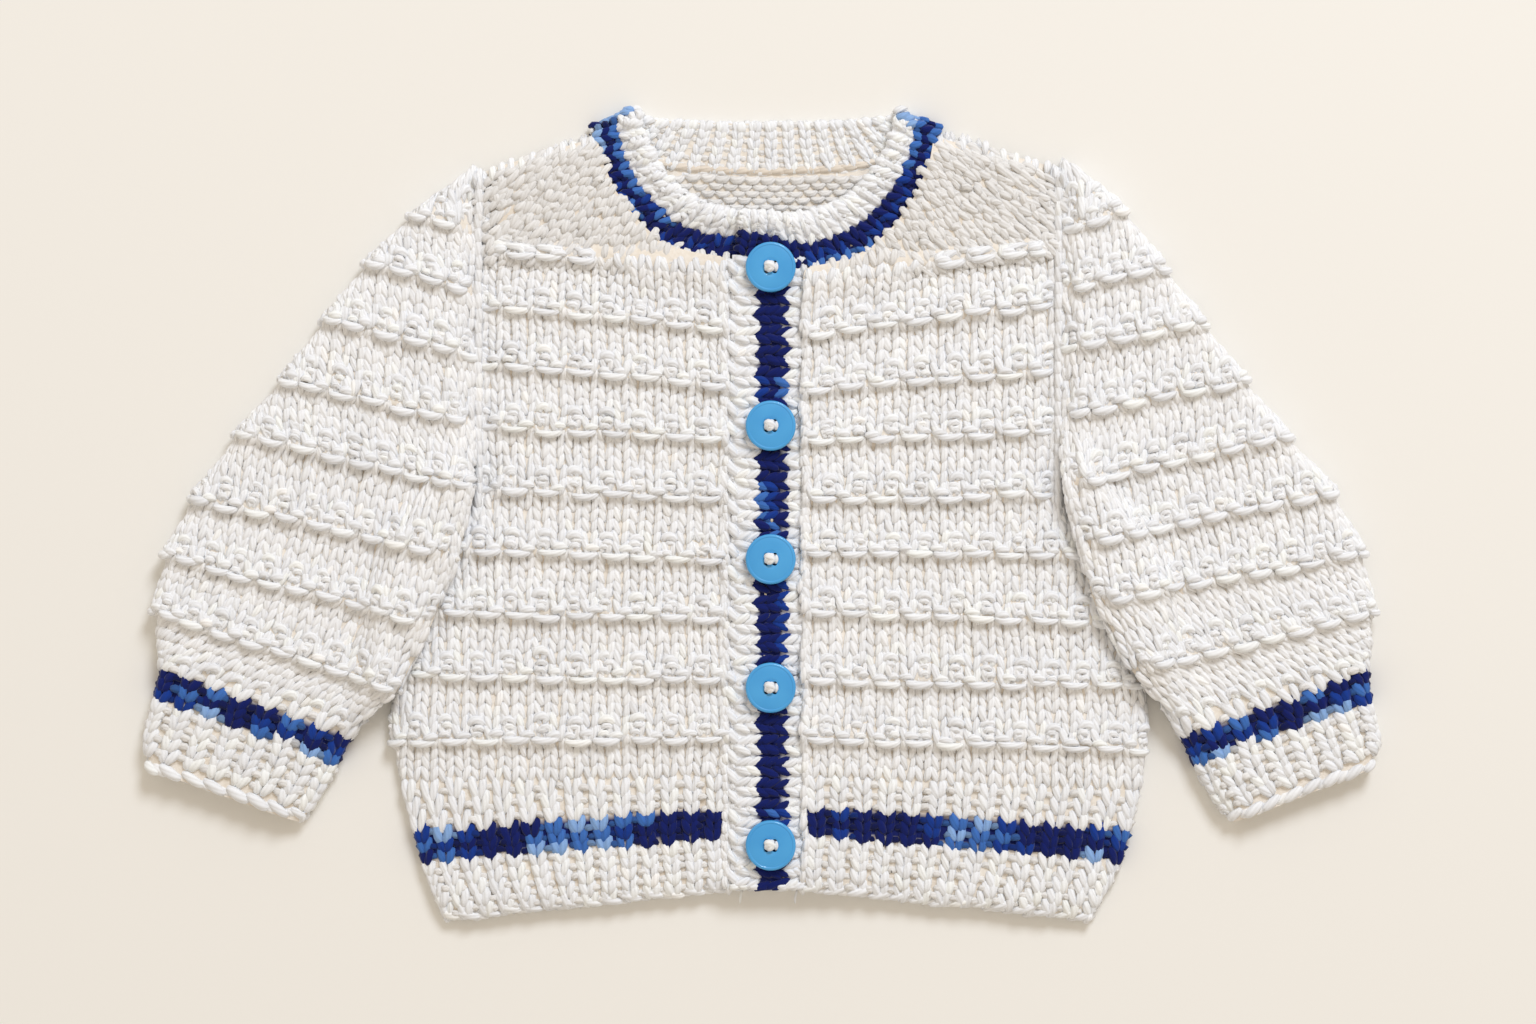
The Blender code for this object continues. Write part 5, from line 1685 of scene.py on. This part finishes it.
# The knot's strands: guide points from the button's middle and its face, and a radius.
Loop = namedtuple("Loop", "guides radius")
KNOT_LOOPS = (
    Loop(((-1.7, 0.5, -0.3), (-1.0, 1.3, 1.4), (0.6, 0.6, 1.5), (1.0, -0.9, -0.3)), 1.25),
    Loop(((-1.3, -1.2, -0.3), (-1.4, 0.2, 1.3), (0.1, 1.1, 1.4), (0.9, 1.3, -0.3)), 1.05),
    Loop(((-1.0, -1.3, -0.3), (-0.2, -0.7, 1.2), (0.5, -0.3, 1.3), (0.8, 0.8, -0.2)), 1.0),
    Loop(((1.5, 1.4, -0.4), (1.9, 0.6, 0.5), (1.9, -0.6, 0.5), (1.4, -1.4, -0.4)), 0.55),
)
# Insets of the button's face from its rim inwards, and how far each one rises.
BUTTON_FACE = ((0.15, 0.02), (0.22, -0.13), (0.25, 0.04), (0.9, 0.10), (2.2, 0.04), (0.5, -0.04),
               (0.3, -0.16))


def pick_top(thing):
    """Selects, in edit mode, the level faces that look up."""
    mesh = bmesh.from_edit_mesh(thing.data)
    bpy.ops.mesh.select_all(action="DESELECT")
    for face in mesh.faces:
        face.select_set(face.normal.z > 0.999)
    mesh.select_flush_mode()
    bmesh.update_edit_mesh(thing.data)


def pick_rims(thing, middle):
    """Selects, in edit mode, the two edge loops round a plain disc."""
    bpy.ops.mesh.select_mode(type="EDGE")
    mesh = bmesh.from_edit_mesh(thing.data)
    bpy.ops.mesh.select_all(action="DESELECT")
    for edge in mesh.edges:
        ends = [vertex.co / MM for vertex in edge.verts]
        level = abs(ends[0].z - ends[1].z) < 0.01
        outside = all((end.xy - middle).length > BUTTON_RADIUS - 0.05 for end in ends)
        edge.select_set(level and outside)
    mesh.select_flush_mode()
    bmesh.update_edit_mesh(thing.data)


def apply_modifier(thing, kind, **settings):
    """Adds a modifier with its settings and applies it."""
    modifier = thing.modifiers.new(kind.lower(), kind)
    for name, value in settings.items():
        setattr(modifier, name, value)
    select_only(thing)
    bpy.ops.object.modifier_apply(modifier=modifier.name)


def add_cylinder(vertices, radius, depth, location):
    """A plain cylinder, its sizes and place in millimetres."""
    bpy.ops.object.select_all(action="DESELECT")
    bpy.ops.mesh.primitive_cylinder_add(vertices=vertices, radius=radius * MM, depth=depth * MM,
                                        location=[value * MM for value in location])
    return bpy.context.object


def button(name, node, y):
    """A four-hole button with a rounded rim and a shallow dish."""
    middle = (BUTTON_X, y, BUTTON_FOOT + 0.5 * BUTTON_THICK)
    disc = add_cylinder(72, BUTTON_RADIUS, BUTTON_THICK, middle)
    disc.name = name
    bpy.ops.object.transform_apply(location=True, rotation=True, scale=True)
    bpy.ops.object.mode_set(mode="EDIT")
    pick_rims(disc, Vector((BUTTON_X, y)))
    bpy.ops.mesh.bevel(offset=BUTTON_EDGE * MM, segments=5, affect="EDGES")
    bpy.ops.mesh.select_mode(type="FACE")
    pick_top(disc)
    for inset, rise in BUTTON_FACE:
        bpy.ops.mesh.inset(thickness=inset * MM, depth=rise * MM)
    bpy.ops.object.mode_set(mode="OBJECT")
    for across, up in itertools.product(HOLE_SIDES, HOLE_SIDES):
        hole_at = (BUTTON_X + across, y + up, BUTTON_FOOT)
        cutter = add_cylinder(20, HOLE_RADIUS, 4.0 * BUTTON_THICK, hole_at)
        apply_modifier(disc, "BOOLEAN", object=cutter, operation="DIFFERENCE")
        bpy.data.objects.remove(cutter)
    apply_modifier(disc, "BEVEL", width=HOLE_EDGE * MM, segments=2, limit_method="ANGLE",
                   angle_limit=math.radians(50.0))
    bpy.ops.object.shade_smooth_by_angle(angle=math.radians(32.0))
    disc.data.materials.clear()
    disc.data.materials.append(BUTTON_FINISH)
    return declare(disc, (node,))


def thread(name, node, y):
    """The thread of a button: a knot over its holes, legs through them, and a shank."""
    top = BUTTON_FOOT + BUTTON_THICK
    low = BUTTON_FOOT - SHANK_DOWN
    paths, sizes = [], []
    for across, up in itertools.product(HOLE_SIDES, HOLE_SIDES):
        paths.append(((across, up, low), (across, up, low + 1.0), (across, up, top - 1.6),
                      (across * 0.6, up * 0.6, top + 0.2)))
        sizes.append(LEG_RADIUS)
    for loop in KNOT_LOOPS:
        paths.append([(across, up, top + over) for across, up, over in loop.guides])
        sizes.append(loop.radius)
    for turn in range(SHANK_TURNS):
        z = BUTTON_FOOT - 0.2 - SHANK_RADIUS * turn
        for half in (1.0, -1.0):
            paths.append(((-1.0, 0.0, z), (-1.0, 1.3 * half, z), (1.0, 1.3 * half, z - 0.1),
                          (1.0, 0.0, z - 0.2)))
            sizes.append(SHANK_RADIUS)
    placed = np.array(paths) + np.array((BUTTON_X, y, 0.0))
    yarn = Yarn()
    yarn.lay(SPACE, placed, np.array(sizes), shade(DYES_AND_SHADES["thread"], len(placed)), KNOT, BALL)
    return declare(yarn.piece(name, WOOL), (node,))


for number, button_y in enumerate(BUTTON_YS, 1):
    button(f"button_disc_{number}", f"button_{number}", button_y)
    thread(f"button_knot_{number}", f"button_thread_{number}", button_y)


# --- Camera, light and floor -------------------------------------------------
VIEW_WIDTH = 0.4608        # metres across the picture, at the height of the cloth
VIEW_X = 0.0024            # the camera's place over the garment
VIEW_Y = 0.0009
CLOTH_Z = 0.006
LENS = 85.0
SENSOR = 36.0
FLOOR_SIZE = 6.0
KEY_AT = (0.75, 1.8, 1.9)  # a soft light above the neck, a little to the left sleeve
KEY_SIZE = 1.0
KEY_POWER = 39.5
KEY_COLOUR = (0.95, 1.0, 1.085)
ROOM_COLOUR = (1.0, 0.885, 0.745, 1.0)
ROOM_STRENGTH = 0.66


def camera():
    """Looks straight down on the garment."""
    data = bpy.data.cameras.new("camera")
    data.lens = LENS
    data.sensor_width = SENSOR
    made = bpy.data.objects.new("camera", data)
    made.location = (VIEW_X, VIEW_Y, CLOTH_Z + VIEW_WIDTH * LENS / SENSOR)
    bpy.context.collection.objects.link(made)
    bpy.context.scene.camera = made


def key_light():
    """A soft light aimed at the middle of the garment."""
    data = bpy.data.lights.new("key", "AREA")
    data.shape = "DISK"
    data.size = KEY_SIZE
    data.energy = KEY_POWER
    data.color = KEY_COLOUR
    made = bpy.data.objects.new("key", data)
    made.location = KEY_AT
    made.rotation_euler = Vector(KEY_AT).to_track_quat("Z", "Y").to_euler()
    bpy.context.collection.objects.link(made)


def room():
    """Warm dim light from all round."""
    world = bpy.data.worlds.new("room")
    world.use_nodes = True
    background = world.node_tree.nodes["Background"]
    background.inputs["Color"].default_value = ROOM_COLOUR
    background.inputs["Strength"].default_value = ROOM_STRENGTH
    bpy.context.scene.world = world
    bpy.context.scene.view_settings.view_transform = "Standard"


def floor():
    """A plain pale floor."""
    bpy.ops.object.select_all(action="DESELECT")
    bpy.ops.mesh.primitive_plane_add(size=FLOOR_SIZE, location=(0.0, 0.0, 0.0))
    plane = bpy.context.object
    plane.name = "floor"
    finish, _, shader = new_material("pale_floor", 0.9, specular=0.1)
    shader.inputs["Base Color"].default_value = (*FLOOR_COLOUR, 1.0)
    plane.data.materials.clear()
    plane.data.materials.append(finish)


camera()
floor()
key_light()
room()


# --- Cuts of the panels ------------------------------------------------------
# The flat size of each knitted panel, in metres, and the solids that it rests on.
Cut = namedtuple("Cut", "pieces width length area rests_on")
